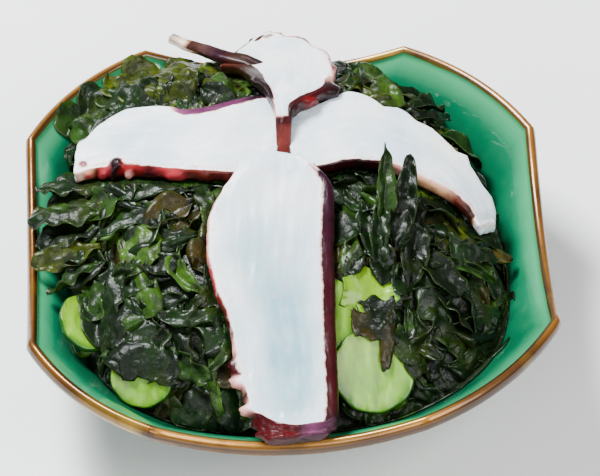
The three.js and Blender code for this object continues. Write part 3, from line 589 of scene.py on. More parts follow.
def make_slice(name, rows, look, seed, thickness=SLICE_THICKNESS):
    """A slice as a fine closed mesh, with its skin, tint and grain as attributes."""
    look = {key: rows_of(text) for key, text in (PLAIN_LOOK | look).items()}
    slab = Slab(rows, look["rounded"][0])
    spine = [slab.spine.at(i / SPINE_STEPS) for i in range(SPINE_STEPS + 1)]
    length = sum(np.linalg.norm(b - a) for a, b in zip(spine, spine[1:]))
    stations = int(length / RING_PITCH) + 1
    shift = Vector((seed * 13.7, seed * 5.1, 0))
    left_table, right_table, over, cover, end_sides = (
        np.array(look[key]) if key in look else None
        for key in ("left", "right", "over", "cover", "end_sides"))
    under_skin, *under_colour = look["under"][0]
    start_skin, *start_colour, start_bulge = look["start"][0]
    end_skin, *end_colour, end_bulge, draw_right, draw_left = look["end"][0]

    def rough(p, size, octaves=3):
        return wobble(Vector(p) + shift, size, octaves)

    def spread(side, t):
        """How far the skin goes on over the flat top from a side's bevel."""
        table = look.get("spread_" + side)
        return float(np.interp(t, *np.array(table).T)) if table else 0.0

    def side_points(sign, t, width, row, reach):
        """Points down one side: a bevel from the top, the face and its lower corner."""
        bevel, moved, amount, ruffle, *colour = row
        wide = max(width + moved, 0.6)
        bevel = min(bevel, wide * 0.75)
        wave = rough((t * length, sign * 40, 0), 4.5) * ruffle
        drop = min(thickness * 0.6, 0.45 + bevel * 0.75)
        found = []
        for k in range(SIDE_COUNT):
            u = k / (SIDE_COUNT - 1)
            if u <= 0.5:
                a = u * math.pi
                out, depth = -bevel * (1 - math.sin(a)), drop * (1 - math.cos(a))
            else:
                a = (u - 0.5) / 0.5
                out, depth = -UNDERCUT * smooth(0.55, 1, a), drop + (thickness - drop) * a
            grit = 0.35 * ruffle * rough((t * length, sign * 20, depth * 1.5), 2.2)
            bulge, skin, tint = 0.0, amount, np.array(colour)
            for which, place, down, radius, height, skin_there, *there in look.get("suckers", ()):
                away = math.hypot((t - place) * length, depth - down) / radius
                if which == sign and away < 2:
                    bulge += height * (math.exp(-(away / 0.85) ** 4)
                                       - 0.35 * math.exp(-(away / 0.4) ** 2))
                    near = math.exp(-(away / 0.95) ** 4)
                    skin = lerp(skin, skin_there, near)
                    tint = lerp(tint, np.array(there), near)
            show = smooth(0, 0.3, u + 0.06)
            starts = max(smooth(0.0, 0.34, u + 0.03), min(1.0, reach / 0.5))
            found.append((sign * (wide + out + (wave + grit + bulge) * show), depth,
                          skin * starts, tint * lerp(1.0, DEEPENS, smooth(0.3, 1.0, u))))
        return found, wide - bevel

    rings, marks = [], []
    for i in range(stations):
        t = i / (stations - 1)
        centre, ahead, to_left, left, right = slab.place(t)
        lrow, rrow = read_table(left_table, t), read_table(right_table, t)
        around, inner_l = side_points(1, t, left, lrow, spread("left", t))
        rside, inner_r = side_points(-1, t, right, rrow, spread("right", t))
        wide_l, wide_r = around[-1][0], -rside[-1][0]
        for k in range(1, LOW_COUNT):
            side = lerp(wide_l, -wide_r, k / LOW_COUNT)
            dip = 0.15 * rough((side, t * length, 7), 6)
            around.append((side, thickness + dip, under_skin * smooth(0.9, 0.97, t),
                           np.array(under_colour)))
        around += rside[::-1]
        for k in range(1, TOP_COUNT):
            side = lerp(-inner_r, inner_l, k / TOP_COUNT)
            near = min(side + inner_r, inner_l - side)
            swell = (0.7 * rough((side, t * length, 0), 13, 2)
                     + 0.22 * rough((side * 1.6, t * length * 0.4, 3), 3.5))
            by_left = side > (inner_l - inner_r) / 2
            row = lrow if by_left else rrow
            blush = row[2] * 0.22 * (1 - smooth(0, 2.2, near))
            reach = spread("left" if by_left else "right", t)
            if reach > 0:
                ends = reach + look["soft"][0][0]
                blush = max(blush, row[2] * (1 - smooth(reach - 0.7, ends, near)))
            around.append((side, -swell * smooth(0, 3, near), blush, row[4:]))
        end_share = smooth(0.8, 1, t)
        ring = []
        for side, depth, skin, tint in around:
            across = side / ((wide_l if side > 0 else wide_r) + UNDERCUT)
            drawn = lerp(draw_right, draw_left, smooth(-1, 1, across)) * end_share
            lift = 0.0
            if depth < 1.5:
                for place, inward, radius, height, *colour in look.get("lumps", ()):
                    middle = left - inward if inward > 0 else -right - inward
                    away = math.hypot((t - place) * length, side - middle) / radius
                    if away < 2:
                        near = math.exp(-(away / 0.9) ** 4)
                        lift += height * near
                        skin = lerp(skin, 1.0, near)
                        tint = lerp(tint, np.array(colour), near)
                if over is not None:
                    amount, *colour = read_table(over, t)
                    skin = max(skin, amount)
                    tint = lerp(tint, np.array(colour), amount)
            if cover is not None and depth < thickness - 0.5:
                past = (t - np.interp(across, cover[:, 0], cover[:, 1])) * length
                amount = smooth(-0.4, 1.0, past)
                lift -= 1.5 * smooth(0, 6, past) * smooth(thickness, 0, depth)
                skin = max(skin, amount)
                there = end_colour if end_sides is None else read_table(end_sides, across)
                tint = lerp(tint, np.array(there), amount * 0.85)
            veil = min(1.0, sum(
                amount * math.exp(-((t - place) / tall) ** 2 - ((across - middle) / wide) ** 2)
                for place, middle, tall, wide, amount in look.get("veils", ())))
            ring.append(centre + to_left * side + ahead * drawn + np.array([0, 0, lift - depth]))
            marks.append((skin, *tint, t * length, side + seed * 31, veil))
        rings.append(np.array(ring))
    count = len(rings[0])
    marks = np.split(np.array(marks), stations)

    def cap(index, sign, bulge, amount, colour):
        """Rings that close an end with a rough rounded face, and their marks."""
        base = rings[index]
        ahead = slab.place(0 if sign < 0 else 1)[1] * sign
        middle = base.mean(0)
        for scale, out in CAP_RINGS:
            points = middle + (base - middle) * scale + ahead * out * bulge
            grit = np.array([rough(p, 2.6, 2) for p in points])
            share = smooth(1.0, 0.9, scale)
            mark = marks[index].copy()
            mark[:, 0] = lerp(mark[:, 0], amount, share)
            mark[:, 1:4] = lerp(mark[:, 1:4], np.array(colour), share * 0.5)
            yield points + ahead * (grit * 0.5 * bulge)[:, None], mark

    pairs = [*list(cap(0, -1, start_bulge, start_skin, start_colour))[::-1], *zip(rings, marks),
             *cap(-1, 1, end_bulge, end_skin, end_colour)]
    points, marks = (np.vstack(column) for column in zip(*pairs))
    faces = ring_faces(len(pairs), count)
    faces.append(tuple(range(count))[::-1])
    faces.append(tuple(range(len(points) - count, len(points))))
    skin, red, green, blue, along, across, veil = marks.T
    return new_object(name, points, faces, {
        "skin": skin, "tint": np.column_stack([red, green, blue, np.ones(len(skin))]),
        "along": along, "across": across, "veil": veil,
    })


def octopus_material():
    s = Shader("octopus_flesh_and_skin")
    tint = s.attribute("tint", "Color")
    border = s.span(s.noise(430, 3), 0.25, 0.75, -0.16, 0.16)
    amount = s.span(s.math("ADD", s.attribute("skin"), border), 0.0, 1.0)
    # fibres run along the slice
    grain = s.add("ShaderNodeCombineXYZ", {
        "X": s.times(s.attribute("along"), 0.07), "Y": s.times(s.attribute("across"), 0.26),
    }).outputs[0]
    fibre = s.noise(1.0, 3, 0.5, vector=grain, distortion=0.6)
    cloud = s.noise(38, 3)
    veil = s.times(s.attribute("veil"), s.span(cloud, 0.35, 0.6, 0.75, 1.0))
    flesh = s.layers(
        s.ramp(cloud, ".34 .54 .69 .8; .5 .79 .86 .9; .66 .9 .9 .89"),
        (s.span(fibre, 0.52, 0.72, 0, 0.5), (0.66, 0.76, 0.80)),
        (s.span(fibre, 0.48, 0.30, 0, 0.5), (0.94, 0.94, 0.92)),
        (veil, (0.25, 0.47, 0.56)))
    mottle = s.span(s.noise(300, 4, 0.6), 0.5, 0.72, 0, 0.7)
    skin = s.mix(mottle, tint, (0.35, 0.35, 0.35), "MULTIPLY")
    s.set(
        Base_Color=s.layers(flesh, (s.span(amount, 0.05, 0.30), (0.80, 0.52, 0.46)),
                            (s.span(amount, 0.22, 0.5), skin)),
        Roughness=s.span(s.noise(130, 3), 0.3, 0.7, 0.26, 0.42),
        Subsurface_Weight=s.span(amount, 0.2, 0.5, 0.25, 0.0),
        Subsurface_Radius=(0.0015, 0.0010, 0.0009), Subsurface_Scale=1.0,
        Specular_IOR_Level=0.22, Coat_Weight=0.05, Coat_Roughness=0.15,
        Normal=s.bump(s.noise(700, 3), 0.2, 0.0003,
                      s.bump(fibre, 0.35, 0.0010, s.bump(s.noise(170, 3), 0.3, 0.0008))))
    return s.material


# ---- cucumber ----

# distance from the middle, as a share of the radius, of the rings on the underside and the top
CUCUMBER_LOW = (0.2, 0.4, 0.6, 0.78, 0.9, 0.96)
CUCUMBER_TOP = (0.965, 0.93, 0.9, 0.86, 0.8, 0.72, 0.64, 0.56, 0.48, 0.4, 0.3, 0.2, 0.1)
# points in a ring, and how far the soft core with the seeds is sunken
CUCUMBER_COUNT, SEED_CORE_DIP = 120, 0.16


def make_cucumber(name, spec, seed):
    x, y, height, radius, forward, sideways, wave = spec
    turn = (Matrix.Translation((x, y, RIM_HEIGHT + height))
            @ Matrix.Rotation(math.radians(forward), 4, "X")
            @ Matrix.Rotation(math.radians(sideways), 4, "Y"))
    curled = "curled" in name
    frill = 1.6 if curled else 0.35
    half = CUCUMBER_THICKNESS / 2
    rows = [(r, -half) for r in CUCUMBER_LOW]
    rows += [(0.99, -half * 0.75), (1.0, -half * 0.35), (1.0, half * 0.35), (0.99, half * 0.75)]
    rows += [(r, half) for r in CUCUMBER_TOP]
    phase = random.Random(seed).uniform(0, 6.28)
    points, radial, angles = [], [], []
    for r, z in rows:
        for k in range(CUCUMBER_COUNT):
            a = 2 * math.pi * k / CUCUMBER_COUNT
            c, s = math.cos(a), math.sin(a)
            if curled:
                edge = 1 + (0.2 * (1 - abs(math.sin(3.5 * a + 0.5))) ** 1.3 - 0.08) * r
            else:
                edge = 1 + 0.012 * math.sin(9 * a + phase) * r
            lift = wave * r ** 2 * math.cos(2 * a + 0.6)
            lift += frill * smooth(0.6, 1, r) * wobble((c * 3 + seed, s * 3, 0), 1.1, 2)
            # soft seed core, a little sunken, in three lobes
            core = smooth(0.52, 0.36, r + 0.05 * math.cos(3 * a + phase))
            dip = SEED_CORE_DIP * core if z > 0 else 0
            p = turn @ Vector((r * radius * edge * c, r * radius * edge * s, z + lift - dip))
            points.append(p[:])
            radial.append(r)
            angles.append(a)
    points += [(turn @ Vector((0, 0, z)))[:] for z in (-half, half - SEED_CORE_DIP)]
    radial, angles = np.array(radial + [0, 0]), np.array(angles + [0, 0])
    return new_object(name, points, closed_faces(len(rows), CUCUMBER_COUNT), {
        "radial": radial, "lobe": np.cos(3 * angles + phase),
        "spoke": np.cos(18 * angles + phase),
        # a limy side, towards the back and the left of the slice, or all of the curled one
        "lime": np.clip(float(curled) + radial * np.cos(angles - 2.4), 0, 1),
    })


def cucumber_material():
    s = Shader("cucumber_flesh_and_skin")
    fine = s.noise(350, 3)
    r = s.math("ADD", s.attribute("radial"), s.span(fine, 0.3, 0.7, -0.015, 0.015))
    core = s.math("ADD", r, s.times(s.attribute("lobe"), 0.045))
    grain = s.add("ShaderNodeMapping", {"Vector": s.position(), "Scale": (1.0, 0.22, 0.22)})
    shadow_streaks = s.noise(300, 3, 0.6, vector=grain)
    # seeds: pale drops between the lobes' ribs
    seed = s.times(s.span(s.attribute("spoke"), 0.45, 0.8),
                   s.times(s.span(core, 0.2, 0.27), s.span(core, 0.46, 0.4)))
    flesh = s.layers(
        s.ramp(core, """0 .17 .34 .016; .3 .15 .31 .013; .46 .13 .28 .01; .54 .17 .33 .016;
            .78 .18 .35 .018; .9 .09 .22 .005; .96 .03 .12 .002"""),
        # the dark streaks are painted shade, shadows of leaf tips over the slice, with paler
        # streaks between them
        (s.span(shadow_streaks, 0.48, 0.66, 0, 0.8), (0.085, 0.17, 0.003)),
        (s.span(shadow_streaks, 0.46, 0.30, 0, 0.7), (0.34, 0.52, 0.09)),
        (s.times(s.attribute("lime"), 0.6), (0.16, 0.25, 0.003)),
        (s.times(seed, 0.12), (0.30, 0.50, 0.08)))
    skin = s.ramp(fine, ".35 .006 .035 .004; .65 .02 .085 .008")
    s.set(
        Base_Color=s.layers(flesh, (s.span(r, 0.955, 0.985), skin),
                            (1.0, (0.90, 1.03, 0.80), "MULTIPLY")),
        Roughness=0.3, Subsurface_Weight=0.15,
        Subsurface_Radius=(0.002, 0.0025, 0.001), Subsurface_Scale=1.0,
        Specular_IOR_Level=0.3, Coat_Weight=0.1, Coat_Roughness=0.15,
        Normal=s.bump(fine, 0.25, 0.0004, s.bump(s.noise(90, 2), 0.2, 0.001)),
    )
    return s.material

# ---- wakame ----


def heap_share(angle):
    """How much of its full reach the heap has in a direction."""
    direction, depth, width = HEAP_DENT
    return 1 - depth * math.exp(-((angle - math.radians(direction)) / math.radians(width)) ** 2)


def heap_place(distance, angle):
    c, s = math.cos(angle), math.sin(angle)
    share = heap_share(math.atan2(s, c))
    scale = distance * share / (abs(c) ** 3 + abs(s) ** 3) ** (1 / 3)
    reach = HEAP_REACH_FRONT if s < 0 else HEAP_REACH_BACK
    return HEAP_CENTRE[0] + HEAP_REACH_X * c * scale, HEAP_CENTRE[1] + reach * s * scale


def heap_distance(x, y):
    """How far out a place is, as a share of the way to the heap's foot."""
    dy = y - HEAP_CENTRE[1]
    across = (x - HEAP_CENTRE[0]) / HEAP_REACH_X
    deep = dy / (HEAP_REACH_FRONT if dy < 0 else HEAP_REACH_BACK)
    share = heap_share(math.atan2(deep, across))
    return (abs(across) ** 3 + abs(deep) ** 3) ** (1 / 3) / share


def heap_height(x, y):
    dy = y - HEAP_CENTRE[1]
    distance = heap_distance(x, y)
    length = math.hypot(x, y) + 1
    foot = HEAP_FOOT + (HEAP_FOOT_SLOPE[0] * x + HEAP_FOOT_SLOPE[1] * y) / length
    fullness = 4 + 0.8 * math.tanh(dy / 25)
    hx, hy, radius, depth = HEAP_HOLLOW
    hollow = depth * math.exp(-((x - hx) ** 2 + (y - hy) ** 2) / radius ** 2)
    return foot + (HEAP_TOP - foot) * (1 - distance ** fullness) - hollow


def tree_of(obj):
    """A search tree over an object's faces, in millimetres from the middle of the dish."""
    mesh = obj.data
    points = np.empty(len(mesh.vertices) * 3)
    mesh.vertices.foreach_get("co", points)
    points = points.reshape(-1, 3) * 1000 - ORIGIN_SHIFT
    faces = [tuple(p.vertices) for p in mesh.polygons]
    return BVHTree.FromPolygons([Vector(p) for p in points], faces)


def slope_turn(x, y):
    step = 2
    fall_x = (heap_height(x - step, y) - heap_height(x + step, y)) / (2 * step)
    fall_y = (heap_height(x, y - step) - heap_height(x, y + step)) / (2 * step)
    return Vector((0, 0, 1)).rotation_difference(Vector((fall_x, fall_y, 1))).to_matrix().to_4x4()


class Limits:
    """How high leaves may reach under what lies on the heap, and how low over it, on a grid."""

    # from the middle to the grid's edge, from place to place, and a limit where nothing lies
    REACH, STEP, NONE = 86.0, 1.0, 999.0

    def __init__(self, slices, cucumbers):
        self.count = int(2 * self.REACH / self.STEP) + 1
        self.slice_under = self.widened(self.scan(slices, True), 6, 0.7, 0.9)
        self.cucumber_under = self.widened(self.scan(cucumbers, True), 1, 1.0, 0.5)
        self.cucumber_top = -self.widened(-self.scan(cucumbers, False), 3, 0.6, 0.5)

    def scan(self, trees, from_below):
        """The lowest underside, or the highest top, over each cell."""
        nearer, none = (min, self.NONE) if from_below else (max, -self.NONE)
        places = [i * self.STEP - self.REACH for i in range(self.count)]
        return np.array([[nearer([z for tree in trees
                                  if (z := ray_height(tree, x, y, from_below)) is not None],
                                 default=none) for y in places] for x in places])

    def widened(self, under, reach, slope, flat):
        """The limit carried past the outline, rising away from it, so faces stay in view."""
        best = under.copy()
        for dx in range(-reach, reach + 1):
            for dy in range(-reach, reach + 1):
                away = math.hypot(dx, dy)
                if 0 < away <= reach + 0.5:
                    moved = np.roll(np.roll(under, dx, 0), dy, 1)
                    best = np.minimum(best, moved + slope * max(0, away - flat))
        return best

    def read(self, grid, x, y):
        i, j = (min(max(round((v + self.REACH) / self.STEP), 0), self.count - 1) for v in (x, y))
        return grid[i, j]


# size of a leaf's facets, half its thickness, and the share of that at its edge
LEAF_CELL, LEAF_HALF_THICKNESS, LEAF_EDGE = 0.96, 0.2, 0.35
# room between a leaf's middle sheet and what it clears, and the cucumber that it lies over
LEAF_ROOM, CUCUMBER_ROOM = 0.6, 0.5


class Leaves:
    """Collects crumpled leaves into one mesh, clear of the dish and of what lies on the heap."""

    def __init__(self, dish_tree, limits):
        self.dish, self.limits = dish_tree, limits
        self.points, self.faces, self.colours, self.rims = [], [], [], []

    def settle(self, p, lies="under", reach=1.0, over_rim=False):
        """The point moved back to the heap, out of the dish, and out of the pieces by it."""
        x, y, z = p
        limits = self.limits
        distance = heap_distance(x, y)
        if distance > reach and not over_rim:
            held = (reach + 0.05 * math.tanh((distance - reach) / 0.05)) / distance
            x = HEAP_CENTRE[0] + (x - HEAP_CENTRE[0]) * held
            y = HEAP_CENTRE[1] + (y - HEAP_CENTRE[1]) * held
        if lies != "free":
            z = min(z, limits.read(limits.slice_under, x, y) - LEAF_ROOM)
        if lies == "under":
            z = min(z, limits.read(limits.cucumber_under, x, y) - LEAF_ROOM)
        elif lies == "over_cucumber":
            z = max(z, limits.read(limits.cucumber_top, x, y) + CUCUMBER_ROOM)
        wall = ray_height(self.dish, x, y)
        return x, y, z if wall is None else max(z, wall + LEAF_ROOM)

    def add(self, x, y, over, length, width, heading, rise, roll, curl, phase, colour,
            lies="under", reach=1.0, over_rim=False, fold=0.4, ragged=0.12, tip=0.6, vee=0.0,
            ruffle=1.0, bend=0.0, drape=0.35):
        """A leaf from its base. heading and rise aim it, roll turns it on its midrib, curl bends
        it down and bend sideways, vee folds its halves up, fold pleats it, ruffle waves its
        edges, and drape is how closely it follows the heap."""
        turn = (slope_turn(x, y) @ Matrix.Rotation(math.radians(heading), 4, "Z")
                @ Matrix.Rotation(-math.radians(rise), 4, "Y")
                @ Matrix.Rotation(math.radians(roll), 4, "X"))
        base = Vector((x, y, heap_height(x, y) + over))
        climb = length * math.sin(math.radians(rise))
        long_cells = max(7, int(length / LEAF_CELL))
        wide_cells = max(6, int(width / LEAF_CELL))
        start = len(self.points)
        grid = []
        for i in range(long_cells + 1):
            u = i / long_cells
            fall = max(0.0, (u - tip) / (1 - tip))
            half = width / 2 * (0.25 + 0.75 * smooth(0, 0.38, u))
            half *= math.sqrt(max(0.0, 1 - fall ** 2.2)) * 0.97 + 0.03
            turned = bend * u
            mid_x, mid_y = u, 0.0
            if abs(bend) > 0.01:
                mid_x, mid_y = math.sin(turned) / bend, (1 - math.cos(turned)) / bend
            for j in range(wide_cells + 1):
                v = 2 * j / wide_cells - 1
                lobe = (1 + ragged * math.sin(u * length / 1.6 + phase + v)
                        + 2 * ragged * noise.noise(Vector((u * length / 4, v + phase, 2))))
                across = half * lobe * v
                wave = ruffle * 0.9 * abs(v) ** 2.5 * math.sin(u * length / 1.1 + phase + 2 * v)
                wave += 0.07 * width * v * math.cos(5 * u + 2 * phase)
                pleat = fold * width * 0.14 * math.sin(v * 3.6 + phase) * (1 - 0.3 * u)
                crumple = 1.6 * noise.noise(
                    Vector((u * length / 5 + phase * 7, across / 4, phase)))
                crumple += 0.75 * noise.noise(
                    Vector((u * length / 2.6, across / 1.7, phase * 3)))
                z = wave + pleat + crumple + vee * abs(across) - curl * length * u ** 2
                along = length * (mid_x - 0.25 * curl * u ** 2) - across * math.sin(turned)
                beside = length * mid_y + across * math.cos(turned)
                p = turn @ Vector((along, beside, z)) + base
                laid = heap_height(p.x, p.y) + over + z + climb * u
                p.z = lerp(p.z, laid, drape)
                grid.append(Vector(self.settle(p, lies, reach, over_rim)))
        stride = wide_cells + 1
        for side in (1, -1):
            for k, p in enumerate(grid):
                i, j = divmod(k, stride)
                ahead = grid[k + stride * (i < long_cells)] - grid[k - stride * (i > 0)]
                beside = grid[k + (j < wide_cells)] - grid[k - (j > 0)]
                normal = ahead.cross(beside).normalized()
                at_edge = j in (0, wide_cells) or i in (0, long_cells)
                out = normal * LEAF_HALF_THICKNESS * side * (LEAF_EDGE if at_edge else 1)
                self.points.append((p + out)[:])
        size = len(grid)
        self.colours += [(*colour, 1)] * (2 * size)
        self.rims += [2 * abs(j / wide_cells - 0.5) for j in range(stride)] * (2 * size // stride)
        quads = [(a, a + stride, a + stride + 1, a + 1)
                 for row in range(start, start + size - stride, stride)
                 for a in range(row, row + wide_cells)]
        self.faces += quads + [tuple(size + a for a in quad[::-1]) for quad in quads]
        border = [*range(stride), *range(stride + wide_cells, size, stride),
                  *range(size - 2, size - stride - 1, -1), *range(size - 2 * stride, 0, -stride)]
        for a, b in zip(border, border[1:] + border[:1]):
            self.faces.append((start + a, start + b, start + size + b, start + size + a))


# A line with # names a group and gives the options that its leaves share. A leaf's line is its
# base x and y, height over the heap, length, width, heading, rise, roll, curl, colour, options.
# draped over the cucumbers, and below the front cucumber two dark ones that are painted shade on
# the glaze there
NAMED_LEAVES = """
# the two that stand before the right slice, and the dark folds between and below them
27 -14 0 30 6 93 19 20 -.05 MID lies=free vee=.75 tip=.15 ragged=.03 drape=0 ruffle=.5
33.5 -13 0 27 6.6 91 20 -25 -.04 DEEP lies=free vee=.8 tip=.2 ragged=.03 drape=0 ruffle=.5
30 -17 .5 22 7 84 7 0 .05 DEEP vee=.6 ragged=.04 drape=0
37 -16 .5 20 6 96 6 10 .05 DEEP vee=.6 ragged=.04 drape=0
25 -24 1 22 6 88 5 0 .05 DARK vee=.6 ragged=.04 drape=.3
34 -28 1.2 22 8 84 4 0 .05 DEEP vee=.5 ragged=.05 drape=.3
# broad ones on the right
44 -6 1 26 14 -60 -6 15 .15 OLIVE drape=.6
38 -20 2.4 32 21 -48 -6 -12 .1 DARK tip=.4 fold=.2 ragged=.06 drape=.6
50 -20 1.6 27 17 -72 -4 10 .1 DARK tip=.4 fold=.2 ragged=.06 drape=.7
52 -2 1 24 11 -85 -10 25 .2 OLIVE drape=.6
54 16 0 16 8 -75 -6 10 .25 DARK drape=.6
# over the left rim: over_rim=1 drape=0
-54 10 1 25 13 178 26 12 .1 DARK tip=.4
-56 -4 1.5 22 9 186 29 -14 .1 OLIVE tip=.4
-54 18 .5 22 10 170 25 22 .08 DARK tip=.4
-55 3 .5 22 12 179 24 16 .1 DEEP tip=.5
-54 14 0 20 12 182 21 -14 .1 DEEP tip=.5
-54 -3 0 19 12 176 22 8 .1 DARK tip=.5
-55 22 0 17 10 178 20 -10 .1 DARK tip=.5
-55 -9 .5 20 7 200 24 30 .1 MID tip=.3
-54 -10 0 16 9 190 18 10 .1 DEEP tip=.5
-55 7 1.5 20 6 168 26 -30 .1 MID tip=.3
# behind the right slice
34 44 1 20 9 40 4 10 .2 OLIVE drape=.7
28 48 1.5 22 9 25 6 -15 .15 OLIVE drape=.5
24 52 1 17 10 70 12 18 .1 BRIGHT reach=1.1
14 56 1 16 9 60 14 10 .1 DEEP reach=1.1
44 36 1 18 8 0 4 12 .2 OLIVE drape=.7
# up the back left wall
-28 52 1 20 11 120 10 14 .12 OLIVE reach=1.2
-42 46 1.5 20 12 135 12 -12 .1 DARK reach=1.25
-50 38 1.5 19 11 150 12 -12 .1 MID reach=1.2
-36 50 1.5 22 12 128 12 10 .1 OLIVE reach=1.3
-52 42 1 22 14 142 10 8 .05 MID reach=1.14 drape=.3
-47 46 1.2 22.5 14 134 12 -8 .05 DARK reach=1.14 drape=.3
-40 50 1 22.5 13 126 12 8 .05 MOSS reach=1.14 drape=.3
-55 37 .5 15 10 158 8 0 .1 DARK reach=1.12 drape=.3
-36 57 1 21.3 13 118 10 6 .05 OLIVE reach=1.16 drape=.3
-27 58 1 20.4 13 102 10 -6 .05 OLIVE reach=1.16 drape=.3
-18 59 1 16.5 12 94 8 8 .05 MOSS reach=1.13 drape=.3
# pale ones on the right, below the slice, and a broad one on the left
40 12 1.4 19 10 -75 -6 15 .1 MOSS drape=.6 ragged=.08
49 3 1.6 18 9 -82 -6 10 .1 MOSS drape=.6 ragged=.08
-47 -1 2.2 19 14 -76 2 5 .08 SPRING tip=.5 fold=.3 ragged=.06
# front
-28 -50 0 18 13 -110 16 10 .15 DARK
-20 -50 0 18 12 -80 18 -10 .15 DARK
# below the curled slice: brown and dark folds: lies=over_cucumber tip=.5
17 -36 1.4 13 8 -50 0 0 .05 AMBER
19 -33 1.4 12 7 -20 0 8 .05 DEEP
23 -34.5 1.4 14 11 -60 0 8 .05 DEEP
# draped over the cucumbers
28.5 -35 1.4 21 5 -97 0 10 .05 AMBER lies=over_cucumber tip=.1 ragged=.03
27 -14 1.6 15 8 -92 0 6 .05 DEEP lies=over_cucumber tip=.3 ragged=.05
17 -14 1.6 13 7 -84 0 -8 .05 DARK lies=over_cucumber tip=.3 ragged=.05
34 -20 1.4 13 7 -104 0 8 .05 DARK lies=over_cucumber tip=.3 ragged=.05
12 -62 0 24 5 12 0 0 0 DEEP tip=.4 ragged=.03 fold=.3
24 -60 0 15 6 30 0 0 0 DARK tip=.4 ragged=.03 fold=.3
35 -34 1.4 19 12 -92 0 0 .1 DARK lies=over_cucumber tip=.4
41 -36 1.4 20 12 -100 0 -10 .1 DEEP lies=over_cucumber tip=.4
-53 -12 2 27 15 -108 2 6 .1 DARK lies=over_cucumber tip=.6
-57 -16 2 14 12 -125 2 10 .1 MID lies=over_cucumber tip=.5
-46 -24 2 20 14 -112 2 -8 .1 DEEP lies=over_cucumber tip=.6
-42 -33 2 21.5 14 -100 2 8 .1 DARK lies=over_cucumber tip=.7
-36 -35 2 22 13 -92 2 -8 .1 DEEP lies=over_cucumber tip=.7
-50 -33 2 20 14 -100 2 4 .1 DEEP lies=over_cucumber tip=.7
# a brown tip on the right wall: reach=1.12 tip=.3 drape=0
57 -5.5 .6 10.5 5.5 6 29 0 .05 TAN
"""


def named_leaves():
    """Yields each named leaf's nine numbers, its colour and its options."""
    for first, *words in map(str.split, NAMED_LEAVES.strip().splitlines()):
        if first == "#":
            shared = [word for word in words if "=" in word]
            continue
        options = dict(word.split("=") for word in shared + words[9:])
        yield ([float(word) for word in (first, *words[:8])], COLOURS[words[8]],
               {key: value if key == "lies" else float(value) for key, value in options.items()})


def leaf_colour(rng, behind):
    """A leaf's colour by chance: more olive towards the back."""
    pick = rng.random()
    chances = [(0.40 - 0.2 * behind, "DARK"), (0.24 - 0.1 * behind, "DEEP"), (0.18, "MID"),
               (0.06 + 0.26 * behind, "OLIVE"), (0.05, "BRIGHT"), (1, "AMBER")]
    for share, name in chances:
        if pick < share:
            break
        pick -= share
    shade = rng.uniform(0.7, 1.35)
    return tuple(c * shade for c in COLOURS[name])


GOLDEN_ANGLE = math.pi * (3 - math.sqrt(5))
LEAF_SEED = 11


def make_leaves(dish_tree, limits):
    """Two pieces: the broad leaves, the named ones among them, and the narrow ribbons."""
    rng = random.Random(LEAF_SEED)
    broad, ribbons = Leaves(dish_tree, limits), Leaves(dish_tree, limits)
    for i, (numbers, colour, options) in enumerate(named_leaves()):
        broad.add(*numbers, 1.3 * i, colour, **options)
    for leaves, places, first, most, thin, wide, turn_by in (
            (broad, 190, 12, 23, 7, 13, 0.5), (ribbons, 230, 16, 32, 3.2, 6.5, 2.4)):
        for i in range(places):
            distance = 0.05 + 0.93 * math.sqrt((i + 0.5) / places)
            x, y = heap_place(distance, i * GOLDEN_ANGLE + turn_by)
            downhill = math.degrees(math.atan2(y - HEAP_CENTRE[1], x - HEAP_CENTRE[0]))
            colour = leaf_colour(rng, smooth(0, 60, y + x * 0.4))
            edge = 1 - 0.35 * smooth(0.75, 1.0, distance)
            length = rng.uniform(first, most) * edge
            leaves.add(
                x, y, rng.uniform(-0.8, 1.4), length, min(rng.uniform(thin, wide) * edge, length),
                downhill + rng.uniform(-90, 90), rng.uniform(0, 16), rng.uniform(-30, 30),
                rng.uniform(0.0, 0.3), rng.uniform(0, 6.28), colour,
                reach=rng.uniform(0.95, 1.03), fold=rng.uniform(0.2, 1.6),
                ragged=rng.uniform(0.04, 0.2), tip=rng.uniform(0.3, 0.8),
                vee=rng.choice([0, 0.3, 0.6, -0.3, -0.6]), ruffle=rng.uniform(0.4, 1.4),
                bend=rng.uniform(-turn_by, turn_by), drape=rng.uniform(0.3, 0.9))
    for name, leaves in (("wakame_broad_leaves", broad), ("wakame_ribbons", ribbons)):
        yield new_object(name, leaves.points, leaves.faces,
                         {"leaf": leaves.colours, "rim": leaves.rims})


def make_core(dish_tree, limits):
    """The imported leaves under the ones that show: a rough dark mound."""
    rings, count = 34, 150
    helper = Leaves(dish_tree, limits)
    points = []
    for r in range(1, rings + 1):
        for k in range(count):
            x, y = heap_place(1.04 * r / rings, 2 * math.pi * k / count)
            z = heap_height(x, y) - 1.8 + 1.2 * wobble((x, y, 0), 6)
            points.append(helper.settle((x, y, z)))
    edge = points[-count:]
    for distance in (1.0, 0.5):
        for k in range(count):
            x, y = heap_place(distance, 2 * math.pi * k / count)
            wall = ray_height(dish_tree, x, y)
            low = FLOOR_HEIGHT if wall is None else wall + 0.3
            points.append((x, y, min(low, edge[k][2] - 0.2)))
    points += [(*HEAP_CENTRE, heap_height(*HEAP_CENTRE) - 2), (*HEAP_CENTRE, FLOOR_HEIGHT + 0.6)]
    return new_object("wakame_core", points, closed_faces(rings + 2, count), {})


